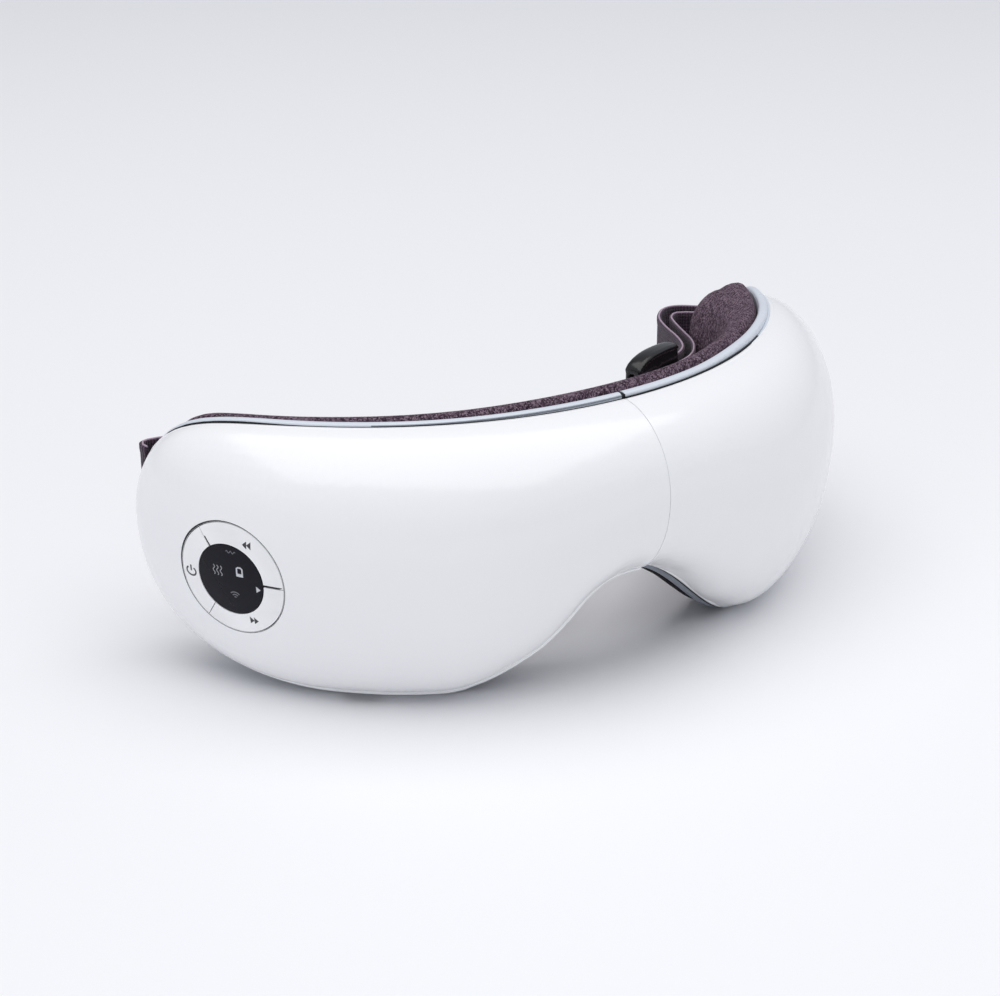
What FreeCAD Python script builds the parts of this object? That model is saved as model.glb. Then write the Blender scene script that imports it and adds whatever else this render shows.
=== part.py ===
"""Folding eye massager: a white visor in two hinged halves with a padded lining and a head strap.

Millimetres. +X is the viewer's right, the front faces -Y and +Z is up. The visor wraps a vertical
axis, the face axis, and every layer of it is a ring about that axis: shell, rim, lining. The part
stands on z = 0 with the middle of its bounding box over the origin.
"""
import FreeCAD
import Part
import Sketcher
import math
import os
from FreeCAD import Placement, Rotation, Vector

SIZES = {
    # Form of the visor, seen from the front and from above
    "face_radius": 102.9,
    "temple_angle": 74.6,
    "brow_height": 74.6,
    "brow_fall": 3.7,
    "arch_share": 0.38,
    "foot_depth": 0.5,
    "front_depth": 19.8,
    "lobe_depth": 24.1,
    "belly_share": 0.54,
    "lobe_belly_share": 0.61,
    "brow_power": 12.0,
    "lobe_power": 4.8,
    "depth_power": 2.2,
    # Shells and what closes them
    "wall": 2.2,
    "seam_gap": 0.3,
    "edge_gap": 0.4,
    "rim_thickness": 2.8,
    "rim_power": 20.0,
    "rim_inset": 0.3,
    "rim_width": 4.7,
    "rim_tip_width": 9.0,
    "rim_split": 1.0,
    "frame_thickness": 2.4,
    "frame_inset": 3.4,
    "frame_tip_inset": 9.0,
    "clearance": 0.2,
    "seat_gap": 0.1,
    "overrun": 1.0,
    # Screws that hold each frame to the bosses of its shell
    "boss_radius": 2.6,
    "screw_radius": 1.1,
    "screw_length": 7.0,
    "screw_head_radius": 2.2,
    "screw_head_height": 1.6,
    "screw_edge": 8.8,
    "screw_tip_edge": 12.0,
    # Lining and what lies under it
    "pad_thickness": 8.6,
    "pad_inset": 0.4,
    "pad_tip_inset": 3.0,
    "pad_roll": 2.6,
    "pad_crown": 0.8,
    "pad_swell": 3.4,
    "pad_swell_share": 0.55,
    "pad_corner_share": 0.15,
    "pad_start": 4.4,
    "airbag_thickness": 2.1,
    "airbag_inset": 6.4,
    "airbag_tip_inset": 13.0,
    "airbag_start": 25.0,
    "film_thickness": 0.3,
    "film_inset": 9.5,
    "film_tip_inset": 17.0,
    "film_start": 28.0,
    # Fold hinge behind the nose bridge
    "hinge_setback": 6.0,
    "knuckle_radius": 2.6,
    "hinge_pin_radius": 1.2,
    "pin_head_radius": 2.0,
    "pin_head_height": 0.8,
    "leaf_thickness": 1.2,
    "leaf_length": 20.0,
    "leaf_web": 2.4,
    "fold_angle": 85.0,
    "fold_spare_angle": 3.5,
    "bridge_thickness": 2.6,
    "harness_thickness": 0.7,
    "harness_length": 44.0,
    "tube_radius": 1.2,
    # Control panel on the left temple
    "panel_angle": 54.2,
    "panel_radius": 15.2,
    "window_radius": 9.6,
    "button_gap": 0.25,
    "button_travel": 0.4,
    "stem_radius": 1.3,
    "board_depth": 7.0,
    "disc_board_radius": 15.4,
    "board_thickness": 1.2,
    "housing_wall": 1.2,
    "housing_ledge": 3.2,
    "holder_wall": 1.0,
    "tact_width": 3.6,
    "tact_height": 1.4,
    "plunger_radius": 0.8,
    "plunger_height": 0.5,
    # Electronics and air parts
    "main_board_angle": 27.0,
    "main_board_width": 30.0,
    "main_board_length": 38.0,
    "board_margin": 3.0,
    "board_hole_radius": 1.1,
    "post_radius": 2.0,
    "post_height": 2.4,
    "chip_width": 9.0,
    "chip_height": 1.2,
    "plug_width": 6.0,
    "plug_length": 12.0,
    "plug_height": 3.4,
    "battery_angle": 24.5,
    "battery_width": 27.0,
    "battery_thickness": 7.6,
    "battery_round": 1.5,
    "pump_angle": 46.0,
    "pump_radius": 5.4,
    "pump_motor_length": 18.0,
    "pump_head_length": 11.0,
    "pump_head_width": 11.6,
    "valve_angle": 57.0,
    "valve_radius": 4.0,
    "valve_length": 8.0,
    "vibrator_angle": 13.0,
    "vibrator_radius": 3.5,
    "vibrator_length": 12.0,
    "vibrator_shaft_radius": 0.6,
    "weight_radius": 3.1,
    "weight_length": 3.4,
    "weight_gap": 0.5,
    "socket_angle": 39.0,
    "socket_width": 9.0,
    "socket_thickness": 3.3,
    "socket_length": 7.4,
    "socket_wall": 0.35,
    "socket_lift": 2.4,
    "socket_tongue": 0.7,
    # Head strap, its tabs and its slider
    "strap_width": 28.0,
    "strap_thickness": 1.3,
    "tab_thickness": 2.0,
    "tab_start_angle": 66.0,
    "tab_end_angle": 75.8,
    "tab_height": 24.0,
    "tab_round": 3.0,
    "strap_wrap_angle": 1.2,
    "slider_length": 20.0,
    "slider_thickness": 5.4,
    "slider_rail": 1.4,
    "slider_bow": 3.2,
    "slider_bar": 3.2,
    "slider_round": 0.8,
}
# Heights and upright lengths as shares of the brow's height
HEIGHT_SHARES = {
    "tip_height_share": 0.5241,
    "arch_height_share": 0.3794,
    "hinge_height_share": 0.67,
    "knuckle_length_share": 0.1072,
    "harness_width_share": 0.0536,
    "panel_height_share": 0.4926,
    "main_board_height_share": 0.563,
    "battery_height_share": 0.509,
    "battery_length_share": 0.56,
    "pump_height_share": 0.3,
    "valve_height_share": 0.509,
    "vibrator_height_share": 0.63,
    "strap_bottom_share": 0.402,
}
# Heights that follow the hinge
HINGE_HEIGHTS = {
    "harness_height": "=hinge_height + 1.5 * knuckle_length + harness_width",
    "tube_height": "=hinge_height - 1.5 * knuckle_length - 1.5 * tube_radius",
}

# Quarter ellipse drawn by one cubic curve
QUARTER_SHARE = 0.5523
# Stations along one half of the visor, closer together towards the temple
STATIONS = 24
STATION_POWER = 1.5
EARLY_STATIONS = 2
TIP_SHARE = 0.999
PAD_TIP_SHARE = 0.997
OUTLINE_POINTS = 28
OUTLINE_LEAD_SHARE = 0.06
BEND_SHARE = 0.45
# Screw places: share of the temple angle, top or bottom of the outline, cell with the distance from it
SCREW_SHARES = (
    (0.22, "top", "screw_edge"), (0.3, "bottom", "screw_edge"),
    (0.8, "top", "screw_tip_edge"), (0.8, "bottom", "screw_tip_edge"),
)
# Panel buttons: name, first and last edge in degrees about the panel
BUTTON_ANGLES = (("back_button", 0.0, 125.0), ("power_button", 125.0, 235.0), ("forward_button", 235.0, 360.0))
# Strap route from above: angle about the face axis, distance as a share of the face radius
STRAP_LEFT_SHARES = (
    (-74.6, 0.872), (-69.2, 0.832), (-59.9, 0.811), (-45.0, 0.816), (-30.0, 0.815), (-15.0, 0.814),
    (0.0, 0.810), (7.1, 0.783), (17.5, 0.712), (28.7, 0.688),
)
STRAP_FRONT_SHARES = (
    (51.7, 0.798), (59.3, 0.806), (64.8, 0.793), (70.7, 0.789), (75.4, 0.796), (77.4, 0.818), (77.4, 0.845),
    (75.4, 0.882),
)
STRAP_BACK_SHARES = (
    (79.4, 0.902), (81.2, 0.862), (81.2, 0.815), (76.2, 0.760), (68.3, 0.753), (62.8, 0.766), (56.2, 0.775),
    (51.1, 0.749), (29.7, 0.648),
)
SLIDER_SHARE = 0.55

doc = FreeCAD.newDocument("eye_massager")
sheet = doc.addObject("Spreadsheet::Sheet", "Sizes")
cells = {alias: str(value) for alias, value in SIZES.items()}
for name, share in HEIGHT_SHARES.items():
    cells[name.removesuffix("_share")] = f"=brow_height * {share}"
cells.update(HINGE_HEIGHTS)
for row, (alias, text) in enumerate(cells.items(), start=1):
    sheet.set(f"A{row}", alias)
    sheet.set(f"B{row}", text)
    sheet.setAlias(f"B{row}", alias)
doc.recompute()


def size(alias):
    """Value of one cell of the sheet."""
    return float(sheet.get(alias))


RADIUS = size("face_radius")
TEMPLE = math.radians(size("temple_angle"))
WALL = size("wall")
OVERRUN = size("overrun")
CLEARANCE = size("clearance")
SEAT_GAP = size("seat_gap")
FRAME_BACK = RADIUS - size("edge_gap")
FRAME_FRONT = FRAME_BACK + size("frame_thickness")
RIM_BACK = FRAME_BACK - size("rim_thickness")
PAD_FRONT = RIM_BACK - CLEARANCE
PAD_BACK = PAD_FRONT - size("pad_thickness")
TAB_INNER = RIM_BACK - size("tab_thickness")
STRAP_OUTER = RIM_BACK + SEAT_GAP + size("strap_thickness") / 2
STRAP_INNER = TAB_INNER - SEAT_GAP - size("strap_thickness") / 2
TOP = size("brow_height")
SPAN = 2 * (RADIUS + size("lobe_depth"))
UP = Vector(0, 0, 1)


# Route of the head strap, seen from above with the face axis at zero

def polar(angle, radius):
    """Point above or below the face axis, from its angle in degrees."""
    phi = math.radians(angle)
    return Vector(radius * math.sin(phi), -radius * math.cos(phi), 0)


def shared(points):
    """Strap points from angles and shares of the face radius."""
    return [polar(angle, share * RADIUS) for angle, share in points]


def strap_route():
    """From the left tab across the lining to the right tab, back over it and through the slider."""
    wrap = size("tab_end_angle") + size("strap_wrap_angle")
    sewn = (size("temple_angle") + wrap) / 2 - size("strap_wrap_angle")
    left_end = [polar(-sewn, STRAP_OUTER), polar(-wrap, STRAP_OUTER), polar(-wrap, STRAP_INNER)]
    inner_end = [polar(wrap, STRAP_INNER), polar(sewn, STRAP_INNER)]
    outer_end = [polar(sewn, STRAP_OUTER), polar(wrap, STRAP_OUTER)]
    main = left_end + shared(STRAP_LEFT_SHARES) + shared(STRAP_FRONT_SHARES) + inner_end
    tail = outer_end + shared(STRAP_BACK_SHARES)
    return main, tail


def band_sides(points, thickness):
    """Edges of both sides of a band whose middle line is straight runs joined by tangent arcs."""
    sides = []
    for side in (thickness / 2, -thickness / 2):
        edges = []
        heading = (points[1] - points[0]).normalize()
        left = UP.cross(heading)
        last = points[0] + left * side
        for before, corner, after in zip(points, points[1:], points[2:]):
            ahead = (after - corner).normalize()
            reach = BEND_SHARE * min((corner - before).Length, (after - corner).Length)
            turn = heading.getAngle(ahead)
            bend = reach / math.tan(turn / 2)
            sign = math.copysign(1, heading.cross(ahead).z)
            start = corner - heading * reach
            end = corner + ahead * reach
            centre = start + left * (sign * bend)
            middle = centre + (corner - centre).normalize() * bend
            next_left = UP.cross(ahead)
            middle_left = (centre - middle).normalize() * sign
            edges.append(Part.LineSegment(last, start + left * side).toShape())
            arc = (start + left * side, middle + middle_left * side, end + next_left * side)
            edges.append(Part.Arc(*arc).toShape())
            last = end + next_left * side
            heading, left = ahead, next_left
        edges.append(Part.LineSegment(last, points[-1] + left * side).toShape())
        sides.append(edges)
    return sides


def band(points, thickness, width):
    """Flat band standing on its edge along a route."""
    near, far = band_sides(points, thickness)
    ends = []
    for index in (0, -1):
        vertex = index
        ends.append(Part.makeLine(near[index].Vertexes[vertex].Point, far[index].Vertexes[vertex].Point))
    outline = Part.Wire(Part.__sortEdges__(near + far + ends))
    return Part.Face(outline).extrude(UP * width)


STRAP_MAIN, STRAP_TAIL = strap_route()
strap_shapes = [
    band(route, size("strap_thickness"), size("strap_width")) for route in (STRAP_MAIN, STRAP_TAIL)
]
strap_reach = max(shape.BoundBox.YMax for shape in strap_shapes)
AXIS_Y = (RADIUS + size("front_depth") - strap_reach) / 2
AXIS = Vector(0, AXIS_Y, 0)
HINGE = Vector(0, AXIS_Y - RADIUS + size("hinge_setback"), 0)


# Form laws of the visor

def smooth(share):
    """Gentle step from zero to one."""
    share = min(max(share, 0), 1)
    return share * share * (3 - 2 * share)


def round_off(share, power):
    """Falls from one at the nose bridge to zero at the temple tip, round at the end."""
    return math.sqrt(max(1 - abs(share) ** power, 0))


def end_angle(inset):
    """Angle at which an outline set in from the edge closes, in radians."""
    return TEMPLE - inset / RADIUS


def outline(phi, inset, tip_inset, power="brow_power"):
    """Lowest and highest point of an outline at an angle; the power squares its upper temple corner."""
    share = min(abs(phi) / end_angle(tip_inset), 1)
    tip = size("tip_height")
    brow = size("brow_height") - size("brow_fall") * share ** 2 - inset
    arch = (1 + math.cos(math.pi * min(abs(phi) / TEMPLE / size("arch_share"), 1))) / 2
    low = size("arch_height") * arch - size("foot_depth") * (1 - arch) + inset
    top = tip + (brow - tip) * round_off(share, size(power))
    bottom = tip - (tip - low) * round_off(share, size("lobe_power"))
    return bottom, top


def front_depth(phi, inset):
    """How far the front stands out from the face radius."""
    share = min(abs(phi) / end_angle(inset), 1)
    lobe = smooth(abs(phi) / TEMPLE / size("arch_share"))
    depth = size("front_depth") + (size("lobe_depth") - size("front_depth")) * lobe - inset
    return depth * round_off(share, size("depth_power"))


def belly_height(phi, inset):
    """Height at which a section stands out furthest."""
    bottom, top = outline(phi, inset, inset)
    lobe = smooth(abs(phi) / TEMPLE / size("arch_share"))
    share = size("belly_share") + (size("lobe_belly_share") - size("belly_share")) * lobe
    return bottom + (top - bottom) * share


def point(radius, phi, height):
    """Point of the part from its place about the face axis."""
    return AXIS + Vector(radius * math.sin(phi), -radius * math.cos(phi), height)


def surface_point(phi, height):
    """Point of the outer front surface."""
    bottom, top = outline(phi, 0, 0)
    belly = belly_height(phi, 0)
    reach = top - belly if height > belly else belly - bottom
    swell = math.sqrt(1 - ((height - belly) / reach) ** 2)
    return point(RADIUS + front_depth(phi, 0) * swell, phi, height)


def station_angles(end):
    """Angles of the sections, from a little beyond the middle plane to just before the tip."""
    angles = [end * (1 - (1 - step / STATIONS) ** STATION_POWER) for step in range(STATIONS)]
    return [-angle for angle in angles[EARLY_STATIONS:0:-1]] + angles


def quarter(start, corner, end):
    """Quarter of an ellipse inside the corner."""
    curve = Part.BezierCurve()
    curve.setPoles([
        start, start + (corner - start) * QUARTER_SHARE, end + (corner - end) * QUARTER_SHARE, end,
    ])
    return curve.toShape()


def front_section(phi, inset, base):
    """Closed section of the front: two quarter ellipses on a straight back."""
    bottom, top = outline(phi, inset, inset)
    belly = belly_height(phi, inset)
    share = min(abs(phi) / end_angle(inset), 1)
    nose = RADIUS + front_depth(phi, inset)
    nose = base + (nose - RADIUS) + (RADIUS - base) * round_off(share, size("depth_power"))
    upper = quarter(point(base, phi, top), point(nose, phi, top), point(nose, phi, belly))
    lower = quarter(point(nose, phi, belly), point(nose, phi, bottom), point(base, phi, bottom))
    return Part.Wire([upper, lower, Part.makeLine(point(base, phi, bottom), point(base, phi, top))])


def visor_form(inset):
    """Right half of the front as a full solid, set in from the outer surface."""
    base = RADIUS if inset == 0 else RADIUS - OVERRUN
    end = end_angle(inset)
    sections = [front_section(phi, inset, base) for phi in station_angles(end) + [end * TIP_SHARE]]
    return Part.makeLoft(sections, True, False)


def pad_section(phi):
    """Closed section of the lining pad: rolled edges, drawn in at the rim, and a crowned face."""
    tip_inset = size("pad_tip_inset")
    bottom, top = outline(phi, size("pad_inset"), tip_inset, "rim_power")
    share = min(abs(phi) / end_angle(tip_inset), 1)
    fade = round_off(share, size("rim_power"))
    start = size("pad_swell_share")
    swell = size("pad_swell") * smooth((share - start) / (1 - start))
    back = PAD_FRONT - (size("pad_thickness") + swell) * fade
    roll = PAD_FRONT - size("pad_roll") * fade
    corner = (top - bottom) * size("pad_corner_share")
    draw = corner / 2 * fade
    face = back - size("pad_crown") * fade
    middle = (top + bottom) / 2

    def at(radius, height):
        return point(radius, phi, height)

    crown = Part.BezierCurve()
    crown.setPoles([at(back, top - corner), at(face, middle), at(back, bottom + corner)])
    return Part.Wire([
        quarter(at(PAD_FRONT, top - draw), at(PAD_FRONT, top), at(roll, top)),
        quarter(at(roll, top), at(back, top), at(back, top - corner)),
        crown.toShape(),
        quarter(at(back, bottom + corner), at(back, bottom), at(roll, bottom)),
        quarter(at(roll, bottom), at(PAD_FRONT, bottom), at(PAD_FRONT, bottom + draw)),
        Part.makeLine(at(PAD_FRONT, bottom + draw), at(PAD_FRONT, top - draw)),
    ])


def pad_form():
    """Right lining pad before it is trimmed."""
    end = end_angle(size("pad_tip_inset"))
    sections = [pad_section(phi) for phi in station_angles(end) + [end * PAD_TIP_SHARE]]
    return Part.makeLoft(sections, True, False)


def radial_form(inset, tip_inset, power="brow_power"):
    """Everything seen from the face axis inside the outline, from near the axis to past the front."""
    end = end_angle(tip_inset)
    start = -OUTLINE_LEAD_SHARE * end
    steps = [step / OUTLINE_POINTS for step in range(OUTLINE_POINTS + 1)]
    angles = [start + (end - start) * (1 - (1 - step) ** 2) for step in steps]
    wires = []
    for distance in (PAD_BACK * math.cos(TEMPLE) / 2, RADIUS + 2 * size("lobe_depth")):
        curves = []
        for side in (0, 1):
            heights = [outline(phi, inset, tip_inset, power)[side] for phi in angles]
            places = [AXIS + Vector(distance * math.tan(phi), -distance, z) for phi, z in zip(angles, heights)]
            curve = Part.BSplineCurve()
            curve.interpolate(Points=places, Parameters=steps)
            curves.append(curve.toShape())
        closing = Part.makeLine(curves[0].valueAt(0), curves[1].valueAt(0))
        wires.append(Part.Wire(Part.__sortEdges__([closing] + curves)))
    return Part.makeLoft(wires, True, True)


def ring(inner, outer, bottom, top):
    """Full ring about the face axis."""
    height = top - bottom
    foot = AXIS + UP * bottom
    return Part.makeCylinder(outer, height, foot).cut(Part.makeCylinder(inner, height, foot))


def right_of(start, stop=None):
    """Block on the right of the middle plane, standing on the floor."""
    length = (SPAN if stop is None else stop) - start
    return Part.makeBox(length, 2 * SPAN, 2 * TOP, Vector(start, -SPAN, 0))


def layer(inner, outer, inset, tip_inset, start, power="brow_power"):
    """Right half of one ring-shaped layer of the visor."""
    full = ring(inner, outer, 0, 2 * TOP)
    return full.common(radial_form(inset, tip_inset, power)).common(right_of(start))


def mirrored(shape):
    """The same shape on the left half."""
    return shape.mirror(Vector(0, 0, 0), Vector(1, 0, 0))


def seat(angle, radius, height):
    """Place on a layer: Z points out of the face axis, Y up, X along the layer."""
    phi = math.radians(angle)
    along = Vector(math.cos(phi), math.sin(phi), 0)
    out = Vector(math.sin(phi), -math.cos(phi), 0)
    return Placement(point(radius, phi, height), Rotation(along, UP, out, "ZXY"))


def shift(x, y, z):
    """Move within a local place."""
    return Placement(Vector(x, y, z), Rotation())


def placed(shape, place):
    """Copy of a shape moved to a place."""
    copy = shape.copy()
    copy.Placement = place.multiply(copy.Placement)
    return copy


def rod(radius, bottom, top, place):
    """Round rod along the local Z of a place."""
    return placed(Part.makeCylinder(radius, top - bottom, UP * bottom), place)


# Document objects

NODES = []


def keep(obj, name):
    """Names a finished sub-part."""
    obj.Label = name
    NODES.append(obj)
    return obj


def shaped(name, shape):
    """Sub-part whose shape is worked out from the sheet."""
    obj = doc.addObject("Part::Feature", name)
    obj.Shape = shape
    obj.Placement = shape.Placement
    return keep(obj, name)


def mirror_of(source, name):
    """Left-hand twin of a right-hand sub-part."""
    obj = doc.addObject("Part::Mirroring", name)
    obj.Source = source
    obj.Normal = Vector(1, 0, 0)
    obj.Base = Vector(0, 0, 0)
    return keep(obj, name)


def bound(kind, name, place, **expressions):
    """Document object whose properties follow the sheet."""
    obj = doc.addObject(kind, name)
    for prop, expression in expressions.items():
        obj.setExpression(prop, expression)
    obj.Placement = place
    return obj


def centred_box(name, place, width, length, height):
    """Block standing on the middle of its base at a place, sized by three cells."""
    centre = shift(-size(width) / 2, -size(length) / 2, 0)
    return bound(
        "Part::Box", name, place.multiply(centre),
        Length=f"Sizes.{width}", Width=f"Sizes.{length}", Height=f"Sizes.{height}",
    )


def joined(kind, name, first, second):
    """Cut, fuse or common of two document objects."""
    obj = doc.addObject(kind, name)
    obj.Base = first
    obj.Tool = second
    return obj


def flat_sketch(body, name):
    """Sketch on the XY plane of a body."""
    sketch = body.newObject("Sketcher::SketchObject", name)
    plane = next(item for item in body.Origin.OriginFeatures if item.Role == "XY_Plane")
    sketch.AttachmentSupport = (plane, [""])
    sketch.MapMode = "FlatFace"
    return sketch


def rectangle(sketch, width, length):
    """Rectangle centred on the sketch's origin, its sides bound to two cells."""
    half = Vector(size(width) / 2, size(length) / 2, 0)
    signs = ((-1, -1), (1, -1), (1, 1), (-1, 1))
    corners = [Vector(x * half.x, y * half.y, 0) for x, y in signs]
    lines = [sketch.addGeometry(Part.LineSegment(a, b)) for a, b in zip(corners, corners[1:] + corners[:1])]
    for line, following in zip(lines, lines[1:] + lines[:1]):
        sketch.addConstraint(Sketcher.Constraint("Coincident", line, 2, following, 1))
    for line in lines[0::2]:
        sketch.addConstraint(Sketcher.Constraint("Horizontal", line))
    for line in lines[1::2]:
        sketch.addConstraint(Sketcher.Constraint("Vertical", line))
    sketch.addConstraint(Sketcher.Constraint("Symmetric", lines[0], 1, lines[2], 1, -1, 1))
    for line, kind, cell in ((lines[0], "DistanceX", width), (lines[1], "DistanceY", length)):
        index = sketch.addConstraint(Sketcher.Constraint(kind, line, 1, line, 2, size(cell)))
        sketch.renameConstraint(index, cell)
        sketch.setExpression(f"Constraints.{cell}", f"Sizes.{cell}")


def circle(sketch, radius, x=0, y=0):
    """Circle bound to a cell."""
    geometry = sketch.addGeometry(Part.Circle(Vector(x, y, 0), UP, size(radius)))
    index = sketch.addConstraint(Sketcher.Constraint("Radius", geometry, size(radius)))
    sketch.setExpression(f"Constraints[{index}]", f"Sizes.{radius}")


def padded(body, sketch, height):
    """Pad of a sketch bound to a cell."""
    pad = body.newObject("PartDesign::Pad", f"{body.Name}_pad")
    pad.Profile = sketch
    pad.setExpression("Length", f"Sizes.{height}")
    return pad


# Shells, frames, rims and the screws between them

OUTER = visor_form(0)
INNER = visor_form(WALL)
MIDDLE = visor_form(WALL / 2)
UNDER = visor_form(WALL + SEAT_GAP)


def screw_places():
    """Places of the screws of the right half, on the back face of its frame."""
    places = []
    for angle_share, side, distance in SCREW_SHARES:
        phi = angle_share * TEMPLE
        bottom, top = outline(phi, 0, 0)
        height = top - size(distance) if side == "top" else bottom + size(distance)
        places.append(seat(math.degrees(phi), FRAME_BACK, height))
    return places


def screw(place):
    """Case screw: head behind the frame, shank through it into the boss."""
    head = rod(size("screw_head_radius"), -size("screw_head_height") - SEAT_GAP, -SEAT_GAP, place)
    return head.fuse(rod(size("screw_radius"), -SEAT_GAP, size("screw_length"), place)).removeSplitter()


def shell_half():
    """White front of the right half: hollow, open at the back, with an end wall at the seam."""
    half_gap = size("seam_gap") / 2
    hollow = INNER.common(right_of(half_gap + WALL))
    shell = OUTER.common(right_of(half_gap)).cut(hollow)
    boss_foot = FRAME_FRONT - FRAME_BACK + SEAT_GAP
    for place in screw_places():
        boss = rod(size("boss_radius"), boss_foot, size("lobe_depth"), place).common(MIDDLE)
        shell = shell.fuse(boss)
    for place in screw_places():
        shell = shell.cut(rod(size("screw_radius") + SEAT_GAP, 0, size("screw_length") + OVERRUN, place))
    return shell.removeSplitter()


def frame_half():
    """Inner frame that closes the back of the right shell."""
    start = size("seam_gap") / 2 + WALL + CLEARANCE
    frame = layer(FRAME_BACK, FRAME_FRONT, size("frame_inset"), size("frame_tip_inset"), start)
    for place in screw_places():
        hole = rod(size("screw_radius") + CLEARANCE, -OVERRUN, size("screw_length"), place)
        frame = frame.cut(hole)
    return frame


def rim_half():
    """Pale rim behind the right shell, open at the nose bridge."""
    inset = size("rim_inset")
    start = size("rim_split") / 2
    rim = layer(RIM_BACK, FRAME_BACK, inset, inset, start, "rim_power")
    window = radial_form(inset + size("rim_width"), inset + size("rim_tip_width"), "rim_power")
    return rim.cut(window)


def airbag_half():
    """Flat air cell between the right frame and its lining, notched from its edge round the screw heads."""
    outer = FRAME_BACK - SEAT_GAP
    inner = outer - size("airbag_thickness")
    cell = layer(inner, outer, size("airbag_inset"), size("airbag_tip_inset"), size("airbag_start"))
    room = size("screw_head_radius") + CLEARANCE
    depth = size("rim_thickness") + OVERRUN
    for place in screw_places():
        cell = cell.cut(rod(room, -size("rim_thickness"), OVERRUN, place))
        reach = math.copysign(SPAN, place.Base.z - TOP / 2)
        corner = Vector(-room, min(reach, 0), -size("rim_thickness"))
        cell = cell.cut(placed(Part.makeBox(2 * room, SPAN, depth, corner), place))
    return cell


def film_half():
    """Heating film on the face side of the right air cell."""
    outer = FRAME_BACK - 2 * SEAT_GAP - size("airbag_thickness")
    inner = outer - size("film_thickness")
    return layer(inner, outer, size("film_inset"), size("film_tip_inset"), size("film_start"))


def tab_block(spare):
    """Curved tongue on the right temple that the strap is sewn to, with room round it."""
    half_height = size("tab_height") / 2 + spare
    middle = size("strap_bottom") + size("strap_width") / 2
    blank = ring(TAB_INNER - spare, RIM_BACK + spare, middle - half_height, middle + half_height)
    widen = math.degrees(spare / RADIUS)
    corners = [AXIS]
    for angle in (size("tab_start_angle") - widen, size("tab_end_angle") + widen):
        corners.append(AXIS + polar(angle, 2 * RADIUS))
    wedge = Part.Face(Part.makePolygon(corners + corners[:1])).extrude(UP * 2 * TOP)
    return blank.common(wedge)


def tab_half():
    """Strap tab of the right temple with its corners rounded."""
    tab = tab_block(0)
    upright = []
    for edge in tab.Edges:
        if isinstance(edge.Curve, Part.Line) and abs(edge.Length - size("tab_thickness")) < SEAT_GAP:
            upright.append(edge)
    return tab.makeFillet(size("tab_round"), upright)


def fold_wedge(spare):
    """Room that the fold needs behind the hinge, on both sides of the middle plane."""
    half_turn = math.radians(size("fold_angle") / 2 + size("fold_spare_angle"))
    far = size("pad_thickness") * 2
    side = far * math.tan(half_turn)
    foot = HINGE - UP * TOP
    corners = [
        foot + Vector(-spare, 0, 0), foot + Vector(spare, 0, 0),
        foot + Vector(side + spare, far, 0), foot + Vector(-side - spare, far, 0),
    ]
    return Part.Face(Part.makePolygon(corners + corners[:1])).extrude(UP * 3 * TOP)


def pad_half():
    """Padded lining of the right half, cut back for the fold and for the strap tab."""
    pad = pad_form().common(right_of(size("pad_start")))
    return pad.cut(fold_wedge(CLEARANCE)).cut(tab_block(CLEARANCE))


def lining_bridge_shape():
    """Strip of lining over the hinge, between the two pads."""
    back = PAD_BACK
    strip = ring(back, back + size("bridge_thickness"), 0, 2 * TOP)
    inset = size("pad_inset") + size("pad_roll")
    form = radial_form(inset, inset)
    half = strip.common(form).common(right_of(0)).common(fold_wedge(-CLEARANCE))
    return half.fuse(mirrored(half)).removeSplitter()


# Fold hinge

def leaf_half(heights):
    """Hinge leaf of the right half with a knuckle over each stretch of heights."""
    low = size("hinge_height") - 1.5 * size("knuckle_length")
    high = size("hinge_height") + 1.5 * size("knuckle_length")
    web_start = size("pin_head_radius") - size("leaf_web") / 4
    plate = ring(FRAME_BACK - size("leaf_thickness"), FRAME_BACK, low, high)
    plate = plate.common(right_of(web_start, size("leaf_length"))).common(front_block())
    leaf = plate
    for bottom, top in heights:
        height = top - bottom
        barrel = Part.makeCylinder(size("knuckle_radius"), height, HINGE + UP * bottom)
        depth = size("hinge_setback") - size("edge_gap") - size("leaf_thickness") / 2
        corner = HINGE + Vector(web_start, -depth, bottom)
        web = Part.makeBox(size("leaf_web"), depth, height, corner)
        leaf = leaf.fuse(barrel.fuse(web))
    bore = Part.makeCylinder(size("hinge_pin_radius") + SEAT_GAP, 2 * TOP, HINGE)
    return leaf.cut(bore).removeSplitter()


def front_block():
    """Everything in front of the face axis."""
    return Part.makeBox(2 * SPAN, 2 * SPAN, 3 * TOP, AXIS + Vector(-SPAN, -2 * SPAN, -TOP))


def knuckle_heights(side):
    """The left leaf has the outer knuckles, the right leaf the middle one."""
    middle = size("hinge_height")
    half = size("knuckle_length") / 2
    if side == "right":
        return [(middle - half + SEAT_GAP, middle + half - SEAT_GAP)]
    return [(middle - 3 * half, middle - half), (middle + half, middle + 3 * half)]


def hinge_pin_shape():
    """Pin with a flat head at both ends."""
    low = size("hinge_height") - 1.5 * size("knuckle_length") - SEAT_GAP
    high = size("hinge_height") + 1.5 * size("knuckle_length") + SEAT_GAP
    pin = Part.makeCylinder(size("hinge_pin_radius"), high - low, HINGE + UP * low)
    for bottom in (low - size("pin_head_height"), high):
        head = Part.makeCylinder(size("pin_head_radius"), size("pin_head_height"), HINGE + UP * bottom)
        pin = pin.fuse(head)
    return pin.removeSplitter()


def harness_shape():
    """Flat cable from half to half over the hinge."""
    outer = FRAME_BACK - CLEARANCE
    low = size("harness_height") - size("harness_width") / 2
    strip = ring(outer - size("harness_thickness"), outer, low, low + size("harness_width"))
    reach = size("harness_length") / 2
    right = strip.common(right_of(0, reach)).common(front_block())
    return right.fuse(mirrored(right)).removeSplitter()


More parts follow.
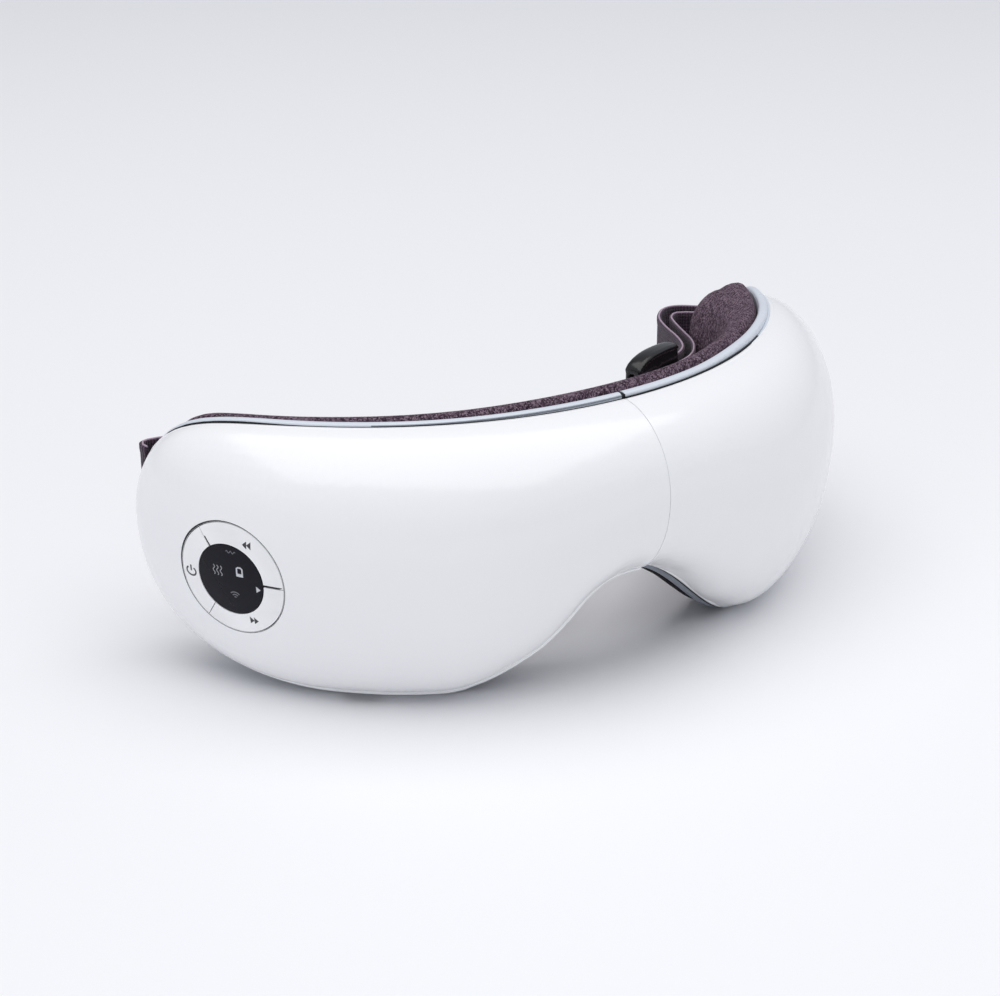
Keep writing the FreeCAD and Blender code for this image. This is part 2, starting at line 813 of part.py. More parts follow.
def bridge_tube():
    """Air tube from the right air cell to the left one, under the hinge."""
    middle = FRAME_BACK - CLEARANCE - size("tube_radius")
    reach = math.asin((size("airbag_start") - 2 * size("edge_gap")) / middle)
    turn = Rotation(UP, -90 - math.degrees(reach))
    place = Placement(AXIS + UP * size("tube_height"), turn)
    tube = bound(
        "Part::Torus", "bridge_air_tube", place,
        Radius2="Sizes.tube_radius",
        Radius1="Sizes.face_radius - Sizes.edge_gap - Sizes.clearance - Sizes.tube_radius",
    )
    tube.Angle3 = 2 * math.degrees(reach)
    return keep(tube, "bridge_air_tube")


# Control panel

def panel_place():
    """Place of the panel on the left temple: Z out of the surface, Y up, X to the right."""
    phi = -math.radians(size("panel_angle"))
    height = size("panel_height")
    step = OVERRUN / RADIUS
    across = surface_point(phi + step, height) - surface_point(phi - step, height)
    upward = surface_point(phi, height + OVERRUN) - surface_point(phi, height - OVERRUN)
    out = across.cross(upward).normalize()
    right = UP.cross(out).normalize()
    return Placement(surface_point(phi, height), Rotation(right, out.cross(right), out, "ZXY"))


PANEL = panel_place()
LEFT_INNER = mirrored(INNER)
LEFT_UNDER = mirrored(UNDER)
LEFT_MIDDLE = mirrored(MIDDLE)
LEFT_WALL = mirrored(OUTER).cut(LEFT_INNER)
BUTTON_INNER = size("window_radius") + size("button_gap")
BUTTON_MIDDLE = (BUTTON_INNER + size("panel_radius")) / 2
BOARD_TOP = -size("board_depth")
TACT_TOP = BOARD_TOP + size("tact_height") + size("plunger_height")


def sector(first, last):
    """Prism over one button, its straight sides half a gap from the split."""
    half_gap = size("button_gap") / 2
    rims = []
    for radius in (BUTTON_INNER, size("panel_radius")):
        trim = math.degrees(half_gap / radius)
        start, stop = first + trim, last - trim
        angles = [math.radians(angle) for angle in (start, (start + stop) / 2, stop)]
        rims.append([Vector(radius * math.cos(angle), radius * math.sin(angle), 0) for angle in angles])
    inner, outer = rims
    edges = [
        Part.makeLine(inner[0], outer[0]), Part.Arc(*outer).toShape(),
        Part.makeLine(outer[2], inner[2]), Part.Arc(*inner).toShape(),
    ]
    face = Part.Face(Part.Wire(Part.__sortEdges__(edges)))
    depth = size("board_depth")
    face.translate(UP * -depth)
    return placed(face.extrude(UP * 2 * depth), PANEL)


def button_spot(first, last):
    """Place under the middle of one button."""
    angle = math.radians((first + last) / 2)
    return PANEL.multiply(shift(BUTTON_MIDDLE * math.cos(angle), BUTTON_MIDDLE * math.sin(angle), 0))


def button(first, last):
    """Button cap in the run of the shell, with a stem down to its switch."""
    cap = LEFT_WALL.common(sector(first, last))
    foot = TACT_TOP + size("button_travel") + SEAT_GAP
    stem = rod(size("stem_radius"), foot, 0, button_spot(first, last)).common(LEFT_MIDDLE)
    return cap.fuse(stem).removeSplitter()


def window_shape():
    """Dark display window in the run of the shell."""
    depth = size("board_depth")
    return LEFT_WALL.common(rod(size("window_radius"), -depth, depth, PANEL))


def holder_shape():
    """Light box between the display board and the window."""
    outer = size("window_radius") - CLEARANCE
    tube = rod(outer, BOARD_TOP, 0, PANEL).cut(rod(outer - size("holder_wall"), BOARD_TOP, 0, PANEL))
    return tube.common(LEFT_UNDER)


def housing_shape():
    """Cup under the panel that carries the display board."""
    inner = size("disc_board_radius") + SEAT_GAP
    outer = inner + size("housing_wall")
    ledge_top = BOARD_TOP - size("board_thickness")
    foot = ledge_top - size("housing_wall")
    cup = rod(outer, foot, 0, PANEL).cut(rod(inner, ledge_top, 0, PANEL))
    cup = cup.cut(rod(inner - size("housing_ledge"), foot, ledge_top, PANEL))
    return cup.common(LEFT_UNDER)


def tact_shapes():
    """Three switches on the display board, one under each button."""
    switches = []
    width = size("tact_width")
    for _, first, last in BUTTON_ANGLES:
        spot = button_spot(first, last)
        corner = Vector(-width / 2, -width / 2, BOARD_TOP)
        case = placed(Part.makeBox(width, width, size("tact_height"), corner), spot)
        plunger = rod(size("plunger_radius"), BOARD_TOP + size("tact_height"), TACT_TOP, spot)
        switches.append(case.fuse(plunger).removeSplitter())
    return Part.makeCompound(switches)


def display_board():
    """Round board of the panel."""
    body = doc.addObject("PartDesign::Body", "display_board")
    sketch = flat_sketch(body, "display_board_outline")
    circle(sketch, "disc_board_radius")
    padded(body, sketch, "board_thickness")
    body.Placement = PANEL.multiply(shift(0, 0, BOARD_TOP - size("board_thickness")))
    return keep(body, "display_board")


# Electronics in the left half

BOARD_PLACE = seat(-size("main_board_angle"), FRAME_FRONT + size("post_height"), size("main_board_height"))


def board_corners():
    """Places of the four board holes, from the board's middle."""
    x = size("main_board_width") / 2 - size("board_margin")
    y = size("main_board_length") / 2 - size("board_margin")
    return [(x, y), (-x, y), (-x, -y), (x, -y)]


def main_board():
    """Control board with a hole at each corner."""
    body = doc.addObject("PartDesign::Body", "main_board")
    sketch = flat_sketch(body, "main_board_outline")
    rectangle(sketch, "main_board_width", "main_board_length")
    for x, y in board_corners():
        circle(sketch, "board_hole_radius", x, y)
    padded(body, sketch, "board_thickness")
    body.Placement = BOARD_PLACE
    return keep(body, "main_board")


def board_parts():
    """Chips and plugs on the control board."""
    top = size("board_thickness")
    blocks = (
        ("chip_width", "chip_width", "chip_height", 0, 0),
        ("plug_length", "plug_width", "plug_height", 0, 1),
        ("plug_length", "plug_width", "plug_height", 0, -1),
    )
    reach = size("main_board_length") / 2 - size("board_margin") - size("plug_width") / 2
    solids = []
    for width, length, height, across, along in blocks:
        corner = Vector(across - size(width) / 2, along * reach - size(length) / 2, top)
        block = Part.makeBox(size(width), size(length), size(height), corner)
        solids.append(placed(block, BOARD_PLACE))
    return Part.makeCompound(solids)


def left_frame_shape(frame):
    """Left frame with the posts of the control board."""
    shape = mirrored(frame)
    sink = size("frame_thickness") / 2
    lowest = ring(RADIUS - OVERRUN, SPAN, 0, 2 * TOP)
    for x, y in board_corners():
        spot = BOARD_PLACE.multiply(shift(x, y, 0))
        post = rod(size("post_radius"), -size("post_height") - 2 * sink, 0, spot).common(lowest)
        shape = shape.fuse(post)
        pin = rod(size("board_hole_radius") - SEAT_GAP, 0, size("board_thickness"), spot)
        shape = shape.fuse(pin)
    return shape.removeSplitter()


def socket_place():
    """Place of the charging socket's mouth over the bottom of the left shell."""
    phi = math.radians(size("socket_angle"))
    bottom = outline(phi, 0, 0)[0]
    radius = FRAME_FRONT + CLEARANCE + size("socket_thickness") / 2
    return seat(-size("socket_angle"), radius, bottom + size("socket_lift"))


def socket_block(spare, bottom, top):
    """Block of the charging socket's outline."""
    width = size("socket_width") + 2 * spare
    thickness = size("socket_thickness") + 2 * spare
    corner = Vector(-width / 2, bottom, -thickness / 2)
    return placed(Part.makeBox(width, top - bottom, thickness, corner), socket_place())


def socket_shape():
    """Charging socket with its mouth facing down and a tongue inside."""
    wall = size("socket_wall")
    length = size("socket_length")
    case = socket_block(0, 0, length).cut(socket_block(-wall, 0, length - 2 * wall))
    inset = (size("socket_thickness") - size("socket_tongue")) / 2
    tongue = socket_block(-inset, length / 5, length)
    return case.fuse(tongue).removeSplitter()


def left_shell_shape(shell):
    """Left shell with the panel opening and the charging slot."""
    hole = rod(size("panel_radius") + size("button_gap"), BOARD_TOP, size("board_depth"), PANEL)
    drop = 2 * size("socket_lift") + WALL
    slot = socket_block(CLEARANCE, -drop, size("socket_length") / 2)
    return mirrored(shell).cut(hole).cut(slot).removeSplitter()


# Battery, pump and valve in the right half

def battery():
    """Flat cell with rounded edges, stuck to the right frame."""
    place = seat(size("battery_angle"), FRAME_FRONT + SEAT_GAP, size("battery_height"))
    block = centred_box("battery_block", place, "battery_width", "battery_length", "battery_thickness")
    doc.recompute()
    cell = doc.addObject("Part::Fillet", "battery")
    cell.Base = block
    round_size = size("battery_round")
    cell.Edges = [(index + 1, round_size, round_size) for index in range(len(block.Shape.Edges))]
    return keep(cell, "battery")


def pump_axis(height):
    """Place on the pump's upright axis."""
    radius = FRAME_FRONT + CLEARANCE + size("pump_head_width") / 2
    base = seat(size("pump_angle"), radius, height).Base
    return Placement(base, Rotation(UP, size("pump_angle")))


def pump():
    """Motor below and diaphragm head above on one axis."""
    low = size("pump_height")
    motor = bound(
        "Part::Cylinder", "pump_motor", pump_axis(low),
        Radius="Sizes.pump_radius", Height="Sizes.pump_motor_length",
    )
    keep(motor, "pump_motor")
    head_place = pump_axis(low + size("pump_motor_length"))
    head = centred_box("pump_head", head_place, "pump_head_width", "pump_head_width", "pump_head_length")
    keep(head, "pump_head")


def nipple_place(angle, height):
    """Place of a radial air passage through the right frame."""
    return seat(angle, FRAME_BACK, height)


def pump_tube_height():
    """Height of the pump's outlet."""
    return size("pump_height") + size("pump_motor_length") + size("pump_head_length") / 2


def outlet_tube():
    """Short tube from the pump head through the frame to the air cell."""
    place = nipple_place(size("pump_angle"), pump_tube_height())
    tube = bound(
        "Part::Cylinder", "right_air_tube", place,
        Radius="Sizes.tube_radius", Height="Sizes.frame_thickness + Sizes.clearance",
    )
    return keep(tube, "right_air_tube")


def valve():
    """Release valve with a stub through the frame."""
    base = seat(size("valve_angle"), FRAME_FRONT + SEAT_GAP, size("valve_height"))
    can = bound(
        "Part::Cylinder", "valve_can", base,
        Radius="Sizes.valve_radius", Height="Sizes.valve_length",
    )
    stub = bound(
        "Part::Cylinder", "valve_stub", nipple_place(size("valve_angle"), size("valve_height")),
        Radius="Sizes.tube_radius", Height="Sizes.frame_thickness + Sizes.valve_length / 2",
    )
    return keep(joined("Part::Fuse", "release_valve", can, stub), "release_valve")


def right_frame_shape(frame):
    """Right frame with the air passages."""
    shape = frame
    passages = ((size("pump_angle"), pump_tube_height()), (size("valve_angle"), size("valve_height")))
    for angle, height in passages:
        place = nipple_place(angle, height)
        shape = shape.cut(rod(size("tube_radius") + SEAT_GAP, -OVERRUN, 2 * size("frame_thickness"), place))
    return shape


# Vibration motors, one in each half

def vibrator(side, sign):
    """Motor lying against the frame with an off-centre weight on its shaft."""
    radius = FRAME_FRONT + CLEARANCE + size("vibrator_radius")
    base = seat(sign * size("vibrator_angle"), radius, size("vibrator_height")).Base
    upright = Placement(base, Rotation())
    can = bound(
        "Part::Cylinder", f"{side}_vibrator_can", upright,
        Radius="Sizes.vibrator_radius", Height="Sizes.vibrator_length",
    )
    shaft = bound(
        "Part::Cylinder", f"{side}_vibrator_shaft", upright,
        Radius="Sizes.vibrator_shaft_radius",
        Height="Sizes.vibrator_length + Sizes.weight_gap + Sizes.weight_length",
    )
    keep(joined("Part::Fuse", f"{side}_vibration_motor", can, shaft), f"{side}_vibration_motor")
    lift = shift(0, 0, size("vibrator_length") + size("weight_gap"))
    turn = Placement(Vector(0, 0, 0), Rotation(UP, sign * size("vibrator_angle") - 90))
    half_disc = bound(
        "Part::Cylinder", f"{side}_weight_disc", upright.multiply(lift).multiply(turn),
        Radius="Sizes.weight_radius", Height="Sizes.weight_length",
    )
    half_disc.Angle = 180
    hub = bound(
        "Part::Cylinder", f"{side}_weight_hub", upright.multiply(lift),
        Radius="Sizes.vibrator_shaft_radius * 2", Height="Sizes.weight_length",
    )
    solid = joined("Part::Fuse", f"{side}_weight_solid", half_disc, hub)
    bore = bound(
        "Part::Cylinder", f"{side}_weight_bore", upright.multiply(lift),
        Radius="Sizes.vibrator_shaft_radius + Sizes.seat_gap", Height="Sizes.weight_length",
    )
    keep(joined("Part::Cut", f"{side}_vibration_weight", solid, bore), f"{side}_vibration_weight")


# Head strap and slider

def strap_shape():
    """Elastic strap: the main run and the tail that comes back through the slider."""
    lift = AXIS + UP * size("strap_bottom")
    solids = []
    for shape in strap_shapes:
        moved = shape.copy()
        moved.translate(lift)
        solids.append(moved)
    return Part.makeCompound(solids)


def slider_place():
    """Middle of the slider: X along the tail, Y along the strap's thickness, Z up."""
    near, far = STRAP_TAIL[-2], STRAP_TAIL[-1]
    along = (near - far).normalize()
    middle = far + (near - far) * SLIDER_SHARE
    height = size("strap_bottom") + size("strap_width") / 2
    return Placement(AXIS + middle + UP * height, Rotation(along, UP.cross(along), UP, "ZXY"))


def slider_shape():
    """Ladder slider: two bowed rails and three bars, staggered so that the strap runs straight through."""
    length = size("slider_length")
    thickness = size("slider_thickness")
    inner = size("strap_width") / 2 + CLEARANCE
    outer = inner + size("slider_rail")
    bar = size("slider_bar")
    clear = size("strap_thickness") / 2 + CLEARANCE
    depth = thickness / 2 - clear
    side = -thickness / 2
    corners = ((-length / 2, outer), (-length / 2, inner), (length / 2, inner), (length / 2, outer))
    ends = [Vector(x, side, z) for x, z in corners]
    bow = Part.Arc(ends[3], Vector(0, side, outer + size("slider_bow")), ends[0]).toShape()
    profile = Part.Wire(Part.makePolygon(ends).Edges + [bow])
    upper = Part.Face(profile).extrude(Vector(0, thickness, 0))
    solid = upper.fuse(upper.mirror(Vector(0, 0, 0), UP))
    spots = ((-length / 2, clear), (-bar / 2, -thickness / 2), (length / 2 - bar, clear))
    for x, y in spots:
        solid = solid.fuse(Part.makeBox(bar, depth, 2 * outer, Vector(x, y, -outer)))
    solid = solid.removeSplitter()
    sharp = []
    for edge in solid.Edges:
        if abs(edge.Length - thickness) < SEAT_GAP and abs(edge.CenterOfMass.z) > inner:
            sharp.append(edge)
    return placed(solid.makeFillet(size("slider_round"), sharp), slider_place())


# The part

right_shell_solid = shell_half()
frame_solid = frame_half()
shaped("right_shell", right_shell_solid)
shaped("left_shell", left_shell_shape(right_shell_solid))
shaped("right_frame", right_frame_shape(frame_solid))
shaped("left_frame", left_frame_shape(frame_solid))
for part_name, maker in (
    ("rim", rim_half), ("airbag", airbag_half), ("heat_film", film_half),
    ("face_pad", pad_half), ("strap_anchor", tab_half),
):
    right_part = shaped(f"right_{part_name}", maker())
    mirror_of(right_part, f"left_{part_name}")
right_screws = shaped("right_case_screws", Part.makeCompound([screw(place) for place in screw_places()]))
mirror_of(right_screws, "left_case_screws")
shaped("lining_bridge", lining_bridge_shape())
shaped("right_hinge_leaf", leaf_half(knuckle_heights("right")))
shaped("left_hinge_leaf", mirrored(leaf_half(knuckle_heights("left"))))
shaped("hinge_pin", hinge_pin_shape())
shaped("hinge_harness", harness_shape())
bridge_tube()
for button_name, first_edge, last_edge in BUTTON_ANGLES:
    shaped(button_name, button(first_edge, last_edge))
shaped("display_window", window_shape())
shaped("display_holder", holder_shape())
shaped("panel_housing", housing_shape())
shaped("tact_switches", tact_shapes())
display_board()
main_board()
shaped("board_components", board_parts())
shaped("charging_socket", socket_shape())
battery()
pump()
outlet_tube()
valve()
for side_name, side_sign in (("left", -1), ("right", 1)):
    vibrator(side_name, side_sign)
shaped("head_strap", strap_shape())
shaped("strap_slider", slider_shape())

doc.recompute()
for item in doc.Objects:
    if "Invalid" in item.State or "Error" in item.State:
        raise RuntimeError(f"{item.Label} failed: {item.State}")
for node in NODES:
    if node.Shape.isNull() or not node.Shape.isValid() or not node.Shape.Solids:
        raise RuntimeError(f"{node.Label} has no valid solid")

os.makedirs("parts", exist_ok=True)
for node in NODES:
    node.Shape.exportStep(os.path.join("parts", f"{node.Label}.step"))
print(len(NODES), "sub-parts")
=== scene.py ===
"""Looks of the folding eye massager: gloss shells, fabric lining, webbing strap, icons, light and camera."""

import math

import bpy
from mathutils import Matrix, Vector, noise
from mathutils.bvhtree import BVHTree


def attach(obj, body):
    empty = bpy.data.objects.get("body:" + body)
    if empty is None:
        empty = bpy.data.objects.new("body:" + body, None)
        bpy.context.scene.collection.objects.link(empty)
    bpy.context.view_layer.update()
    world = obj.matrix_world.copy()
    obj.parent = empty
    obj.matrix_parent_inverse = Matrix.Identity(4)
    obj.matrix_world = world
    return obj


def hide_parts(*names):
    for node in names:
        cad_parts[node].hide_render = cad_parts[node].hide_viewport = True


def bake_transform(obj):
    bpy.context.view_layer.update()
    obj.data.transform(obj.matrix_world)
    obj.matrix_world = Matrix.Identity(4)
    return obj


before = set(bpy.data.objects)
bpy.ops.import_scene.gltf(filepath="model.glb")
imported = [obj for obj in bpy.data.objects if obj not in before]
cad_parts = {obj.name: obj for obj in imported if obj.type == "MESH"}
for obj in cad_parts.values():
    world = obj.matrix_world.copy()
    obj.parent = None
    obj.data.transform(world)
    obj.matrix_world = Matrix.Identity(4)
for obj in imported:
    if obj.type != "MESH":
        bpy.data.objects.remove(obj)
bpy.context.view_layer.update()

MM = 0.001

# Form of the visor in millimetres, as in the part's source
FACE_RADIUS = 102.9
TEMPLE = math.radians(74.6)
BROW = 74.6
AXIS_Y = 67.578
PAD_FRONT = 99.5
PAD_THICKNESS = 8.6
PAD_ROLL = 2.6
RIGHT_SWELL = 9.4
LEFT_SWELL = 3.4
TIP = 39.1
BROW_FALL = 3.7
FRONT_DEPTH = 19.8
LOBE_DEPTH = 24.1
BROW_POWER = 12
RIM_POWER = 20
LOBE_POWER = 4.8
NOSE_ARCH = 28.3
LINING_ARCH = 25.6
ARCH_SHARE = 0.38
BELLY_SHARE = 0.54
LOBE_BELLY = 0.07
RIM_SPLIT = 0.5 / 101

# Distance of the edge pieces from the face axis, and of the points along them from each other
RIM_MIDDLE = 101.1
GROOVE_RADIUS = 102.3
GAP_SHADE_RADIUS = 102.75
LIP_RADIUS = 103.7
POINT_GAP = 1.2

# How far the lower front of the left shell is drawn up, every three degrees from the nose bridge,
# and the share of it on the right
LOWER_LIFT = (0.0, 0.6, 1.8, 1.6, -0.2, -0.7, 0.4, 1.4, 2.1, 2.1, 1.9, 1.7, 1.5, 1.3, 1.0, 0.6, 0.3, 0.1, 0.0)
LIFT_STEP = 3
RIGHT_LIFT_SHARE = 0.4

# Strap: its edges and thickness, and from above its main run from tab to tab and its tail to the slider
STRAP_BOTTOM = 30.0
STRAP_TOP = 58.0
STRAP_THICKNESS = 1.3
STRAP_MAIN = (
    (-96.84, 40.9), (-97.88, 44.98), (-94.47, 45.77), (-86.51, 43.75), (-80.03, 37.18), (-72.2, 25.73),
    (-59.37, 8.21), (-41.93, -5.05), (-21.68, -13.33), (0.0, -15.77), (9.96, -12.37), (22.03, -2.3),
    (34.0, 5.48), (64.44, 16.69), (71.31, 25.24), (73.83, 32.83), (76.63, 40.74), (79.26, 46.93),
    (82.15, 49.22), (84.86, 48.61), (87.83, 44.7), (94.47, 45.77), (93.47, 41.83),
)
STRAP_TAIL = (
    (96.84, 40.9), (97.88, 44.98), (91.23, 50.5), (87.66, 54.01), (82.88, 54.75), (75.95, 48.92),
    (71.99, 38.93), (70.11, 31.55), (66.27, 23.22), (59.98, 19.18), (39.8, 12.05),
)

# Middle of the control panel and its directions: to the right, up and out of the shell
PANEL = Vector((-97.024, -2.398, 36.748)) * MM
PANEL_RIGHT = Vector((0.44428, -0.89589, 0.0))
PANEL_UP = Vector((-0.07941, -0.03938, 0.99606))
PANEL_OUT = Vector((-0.89236, -0.44253, -0.08864))

# Middle of the slider and the way it lies on the tail
SLIDER = Vector((47.856, 14.895, 44.0)) * MM
SLIDER_ALONG = Vector((0.94286, 0.33318, 0.0))
SLIDER_ACROSS = Vector((-0.33318, 0.94286, 0.0))


# Modelling helpers

def deselect():
    """Leaves edit mode with nothing selected."""
    if bpy.context.object and bpy.context.object.mode != "OBJECT":
        bpy.ops.object.mode_set(mode="OBJECT")
    bpy.ops.object.select_all(action="DESELECT")


def named(name):
    """Names the piece that was just added."""
    piece = bpy.context.object
    piece.name = name
    piece.data.name = name
    return piece


def only(piece):
    """Makes one piece the selected and active one."""
    deselect()
    piece.select_set(True)
    bpy.context.view_layer.objects.active = piece


def applied(piece, kind, **settings):
    """Adds a modifier with its settings and applies it."""
    only(piece)
    modifier = piece.modifiers.new(kind.lower(), kind)
    for key, value in settings.items():
        setattr(modifier, key, value)
    bpy.ops.object.modifier_apply(modifier=modifier.name)
    return piece


def smooth_by_angle(piece, degrees):
    """Smooth shading with the sharp edges kept."""
    only(piece)
    bpy.ops.object.shade_smooth_by_angle(angle=math.radians(degrees))


def outward(piece):
    """Merges doubles and turns all faces outwards."""
    only(piece)
    bpy.ops.object.mode_set(mode="EDIT")
    bpy.ops.mesh.select_all(action="SELECT")
    bpy.ops.mesh.remove_doubles(threshold=1e-7)
    bpy.ops.mesh.normals_make_consistent(inside=False)
    bpy.ops.object.mode_set(mode="OBJECT")


def tube(name, around, along):
    """Closed tube ready to be shaped: a cylinder whose long edges are cut into rings, 100 cuts at most."""
    deselect()
    bpy.ops.mesh.primitive_cylinder_add(vertices=around, radius=1, depth=1, end_fill_type="NGON")
    piece = named(name)
    bpy.ops.object.mode_set(mode="EDIT")
    bpy.ops.mesh.select_mode(type="EDGE")
    bpy.ops.mesh.select_all(action="DESELECT")
    bpy.ops.object.mode_set(mode="OBJECT")
    points = piece.data.vertices
    for edge in piece.data.edges:
        low, high = (points[index].co.z for index in edge.vertices)
        edge.select = abs(low - high) > 0.5
    bpy.ops.object.mode_set(mode="EDIT")
    bpy.ops.mesh.subdivide(number_cuts=along - 1)
    bpy.ops.mesh.select_mode(type="VERT")
    bpy.ops.object.mode_set(mode="OBJECT")
    return piece


def ribbon(name, along, across):
    """Flat grid ready to be laid along a route."""
    deselect()
    bpy.ops.mesh.primitive_grid_add(x_subdivisions=along, y_subdivisions=across, size=1)
    return named(name)


def block(centre, sides, size, edge):
    """Rounded block from a cube, turned to three directions."""
    deselect()
    bpy.ops.mesh.primitive_cube_add(size=1)
    piece = bpy.context.object
    right, back, up = sides
    turn = Matrix((right, back, up)).transposed().to_4x4()
    scale = Matrix.Diagonal((*size, 1))
    piece.data.transform(Matrix.Translation(centre) @ turn @ scale)
    applied(piece, "BEVEL", width=edge, segments=4, limit_method="ANGLE")
    return piece


# Finishes

class Finish:
    """One material that is put together from a few plain steps."""

    def __init__(self, name, colour, rough, **sockets):
        self.material = bpy.data.materials.new(name)
        self.material.use_nodes = True
        self.tree = self.material.node_tree
        self.shader = self.tree.nodes["Principled BSDF"]
        self.set("Base Color", (*colour, 1))
        self.set("Roughness", rough)
        for key, value in sockets.items():
            self.set(key.replace("_", " "), value)

    def set(self, socket, value):
        self.shader.inputs[socket].default_value = value

    def join(self, output, socket):
        self.tree.links.new(output, self.shader.inputs[socket])

    def node(self, kind, **inputs):
        made = self.tree.nodes.new(kind)
        for key, value in inputs.items():
            socket = made.inputs[key]
            if isinstance(value, bpy.types.NodeSocket):
                self.tree.links.new(value, socket)
            else:
                socket.default_value = value
        return made

    def place(self, scale=(1, 1, 1), turn=(0, 0, 0), shift=(0, 0, 0), of="Object"):
        coordinates = self.node("ShaderNodeTexCoord")
        mapping = self.node("ShaderNodeMapping", Vector=coordinates.outputs[of])
        mapping.inputs["Scale"].default_value = scale
        mapping.inputs["Rotation"].default_value = turn
        mapping.inputs["Location"].default_value = shift
        return mapping.outputs["Vector"]

    def noise(self, place, scale, detail=3, rough=0.5):
        made = self.node("ShaderNodeTexNoise", Vector=place, Scale=scale, Detail=detail, Roughness=rough)
        return made.outputs["Fac"]

    def wave(self, place, scale, direction="X", distortion=0):
        made = self.node("ShaderNodeTexWave", Vector=place, Scale=scale, Distortion=distortion)
        made.bands_direction = direction
        return made.outputs["Fac"]

    def ramp(self, value, *stops):
        made = self.node("ShaderNodeValToRGB", Fac=value)
        band = made.color_ramp
        while len(band.elements) < len(stops):
            band.elements.new(1)
        for element, (spot, colour) in zip(band.elements, stops):
            element.position = spot
            element.color = (*colour, 1)
        return made.outputs["Color"]

    def span(self, value, low, high):
        made = self.node("ShaderNodeMapRange", Value=value)
        made.inputs["To Min"].default_value = low
        made.inputs["To Max"].default_value = high
        return made.outputs["Result"]

    def maths(self, kind, first, second):
        made = self.tree.nodes.new("ShaderNodeMath")
        made.operation = kind
        for socket, value in zip(made.inputs, (first, second)):
            if isinstance(value, bpy.types.NodeSocket):
                self.tree.links.new(value, socket)
            else:
                socket.default_value = value
        return made.outputs[0]

    def bump(self, height, strength, distance):
        made = self.node("ShaderNodeBump", Height=height, Strength=strength, Distance=distance)
        self.join(made.outputs["Normal"], "Normal")


def gloss_shell():
    """White moulded gloss plastic: faint cloudiness and the finest orange peel."""
    made = Finish("gloss_white_shell", (0.933, 0.935, 0.944), 0.2, Coat_Weight=0.15, Coat_Roughness=0.06)
    cloud = made.noise(made.place(), 14, 2)
    made.join(made.ramp(cloud, (0.3, (0.925, 0.927, 0.937)), (0.7, (0.94, 0.942, 0.95))), "Base Color")
    made.join(made.span(cloud, 0.17, 0.23), "Roughness")
    made.bump(made.noise(made.place(), 420, 2), 0.02, 0.0002)
    return made.material


def rim_plastic():
    """Pale blue-grey satin plastic."""
    made = Finish("pale_satin_rim", (0.68, 0.73, 0.80), 0.28)
    cloud = made.noise(made.place(), 40, 3)
    made.join(made.ramp(cloud, (0.3, (0.665, 0.715, 0.785)), (0.7, (0.70, 0.75, 0.81))), "Base Color")
    made.join(made.span(made.noise(made.place(), 900, 2), 0.24, 0.36), "Roughness")
    made.bump(made.noise(made.place(), 2600, 2), 0.05, 0.0001)
    return made.material


def heather(name, dark, middle, light, thread):
    """Heathered knit cloth: mixed fibres over a fine weave."""
    made = Finish(name, middle, 0.95, Sheen_Weight=0.25, Sheen_Roughness=0.5, Specular_IOR_Level=0.2)
    made.set("Sheen Tint", (*light, 1))
    place = made.place(scale=(1, 1, 0.7))
    stitch = made.node("ShaderNodeTexVoronoi", Vector=place, Scale=2900).outputs["Color"]
    fibre = made.noise(made.place(), 900, 4, 0.7)
    mixed = made.maths("ADD", made.maths("MULTIPLY", stitch, 0.55), made.maths("MULTIPLY", fibre, 0.45))
    colour = made.ramp(mixed, (0.32, dark), (0.5, middle), (0.70, light))
    made.join(colour, "Base Color")
    warp = made.wave(made.place(of="UV"), thread[0], "X", 1.0)
    weft = made.wave(made.place(of="UV"), thread[1], "Y", 1.0)
    weave = made.maths("ADD", warp, weft)
    made.bump(made.maths("ADD", made.maths("MULTIPLY", weave, 0.2), mixed), 0.5, 0.0003)
    return made.material


def webbing():
    """Woven elastic with fine ribs across."""
    made = Finish("woven_elastic", (0.05, 0.035, 0.05), 0.85, Sheen_Weight=0.15, Specular_IOR_Level=0.25)
    rib = made.wave(made.place(of="UV"), 95, "X", 0.4)
    cord = made.wave(made.place(of="UV"), 9, "Y", 0.6)
    yarn = made.noise(made.place(), 1800, 3, 0.7)
    body = made.ramp(
        made.maths("ADD", made.maths("MULTIPLY", rib, 0.22), made.maths("MULTIPLY", yarn, 0.78)),
        (0.32, (0.018, 0.010, 0.019)), (0.72, (0.105, 0.066, 0.104)),
    )
    made.join(body, "Base Color")
    made.bump(made.maths("ADD", rib, made.maths("MULTIPLY", cord, 0.5)), 0.7, 0.0003)
    return made.material


def moulded(name, colour, rough, grain=1500, shine=0.5):
    """Moulded plastic with a fine grain and slightly uneven gloss."""
    made = Finish(name, colour, rough, Specular_IOR_Level=shine)
    cloud = made.noise(made.place(), 60, 3)
    low = tuple(value * 0.93 for value in colour)
    high = tuple(min(value * 1.05, 1) for value in colour)
    made.join(made.ramp(cloud, (0.3, low), (0.7, high)), "Base Color")
    uneven = made.noise(made.place(), grain / 2, 3)
    made.join(made.span(uneven, rough * 0.85, min(rough * 1.2, 1)), "Roughness")
    made.bump(made.noise(made.place(), grain, 2), 0.08, 0.0001)
    return made.material


def metal(name, colour, rough, stretch):
    """Drawn metal: fine lines along one direction."""
    made = Finish(name, colour, rough, Metallic=1)
    lines = made.noise(made.place(scale=stretch), 900, 4, 0.6)
    made.join(made.ramp(lines, (0.3, tuple(value * 0.8 for value in colour)), (0.7, colour)), "Base Color")
    made.join(made.span(lines, rough * 0.8, rough * 1.3), "Roughness")
    made.bump(lines, 0.1, 0.0001)
    return made.material


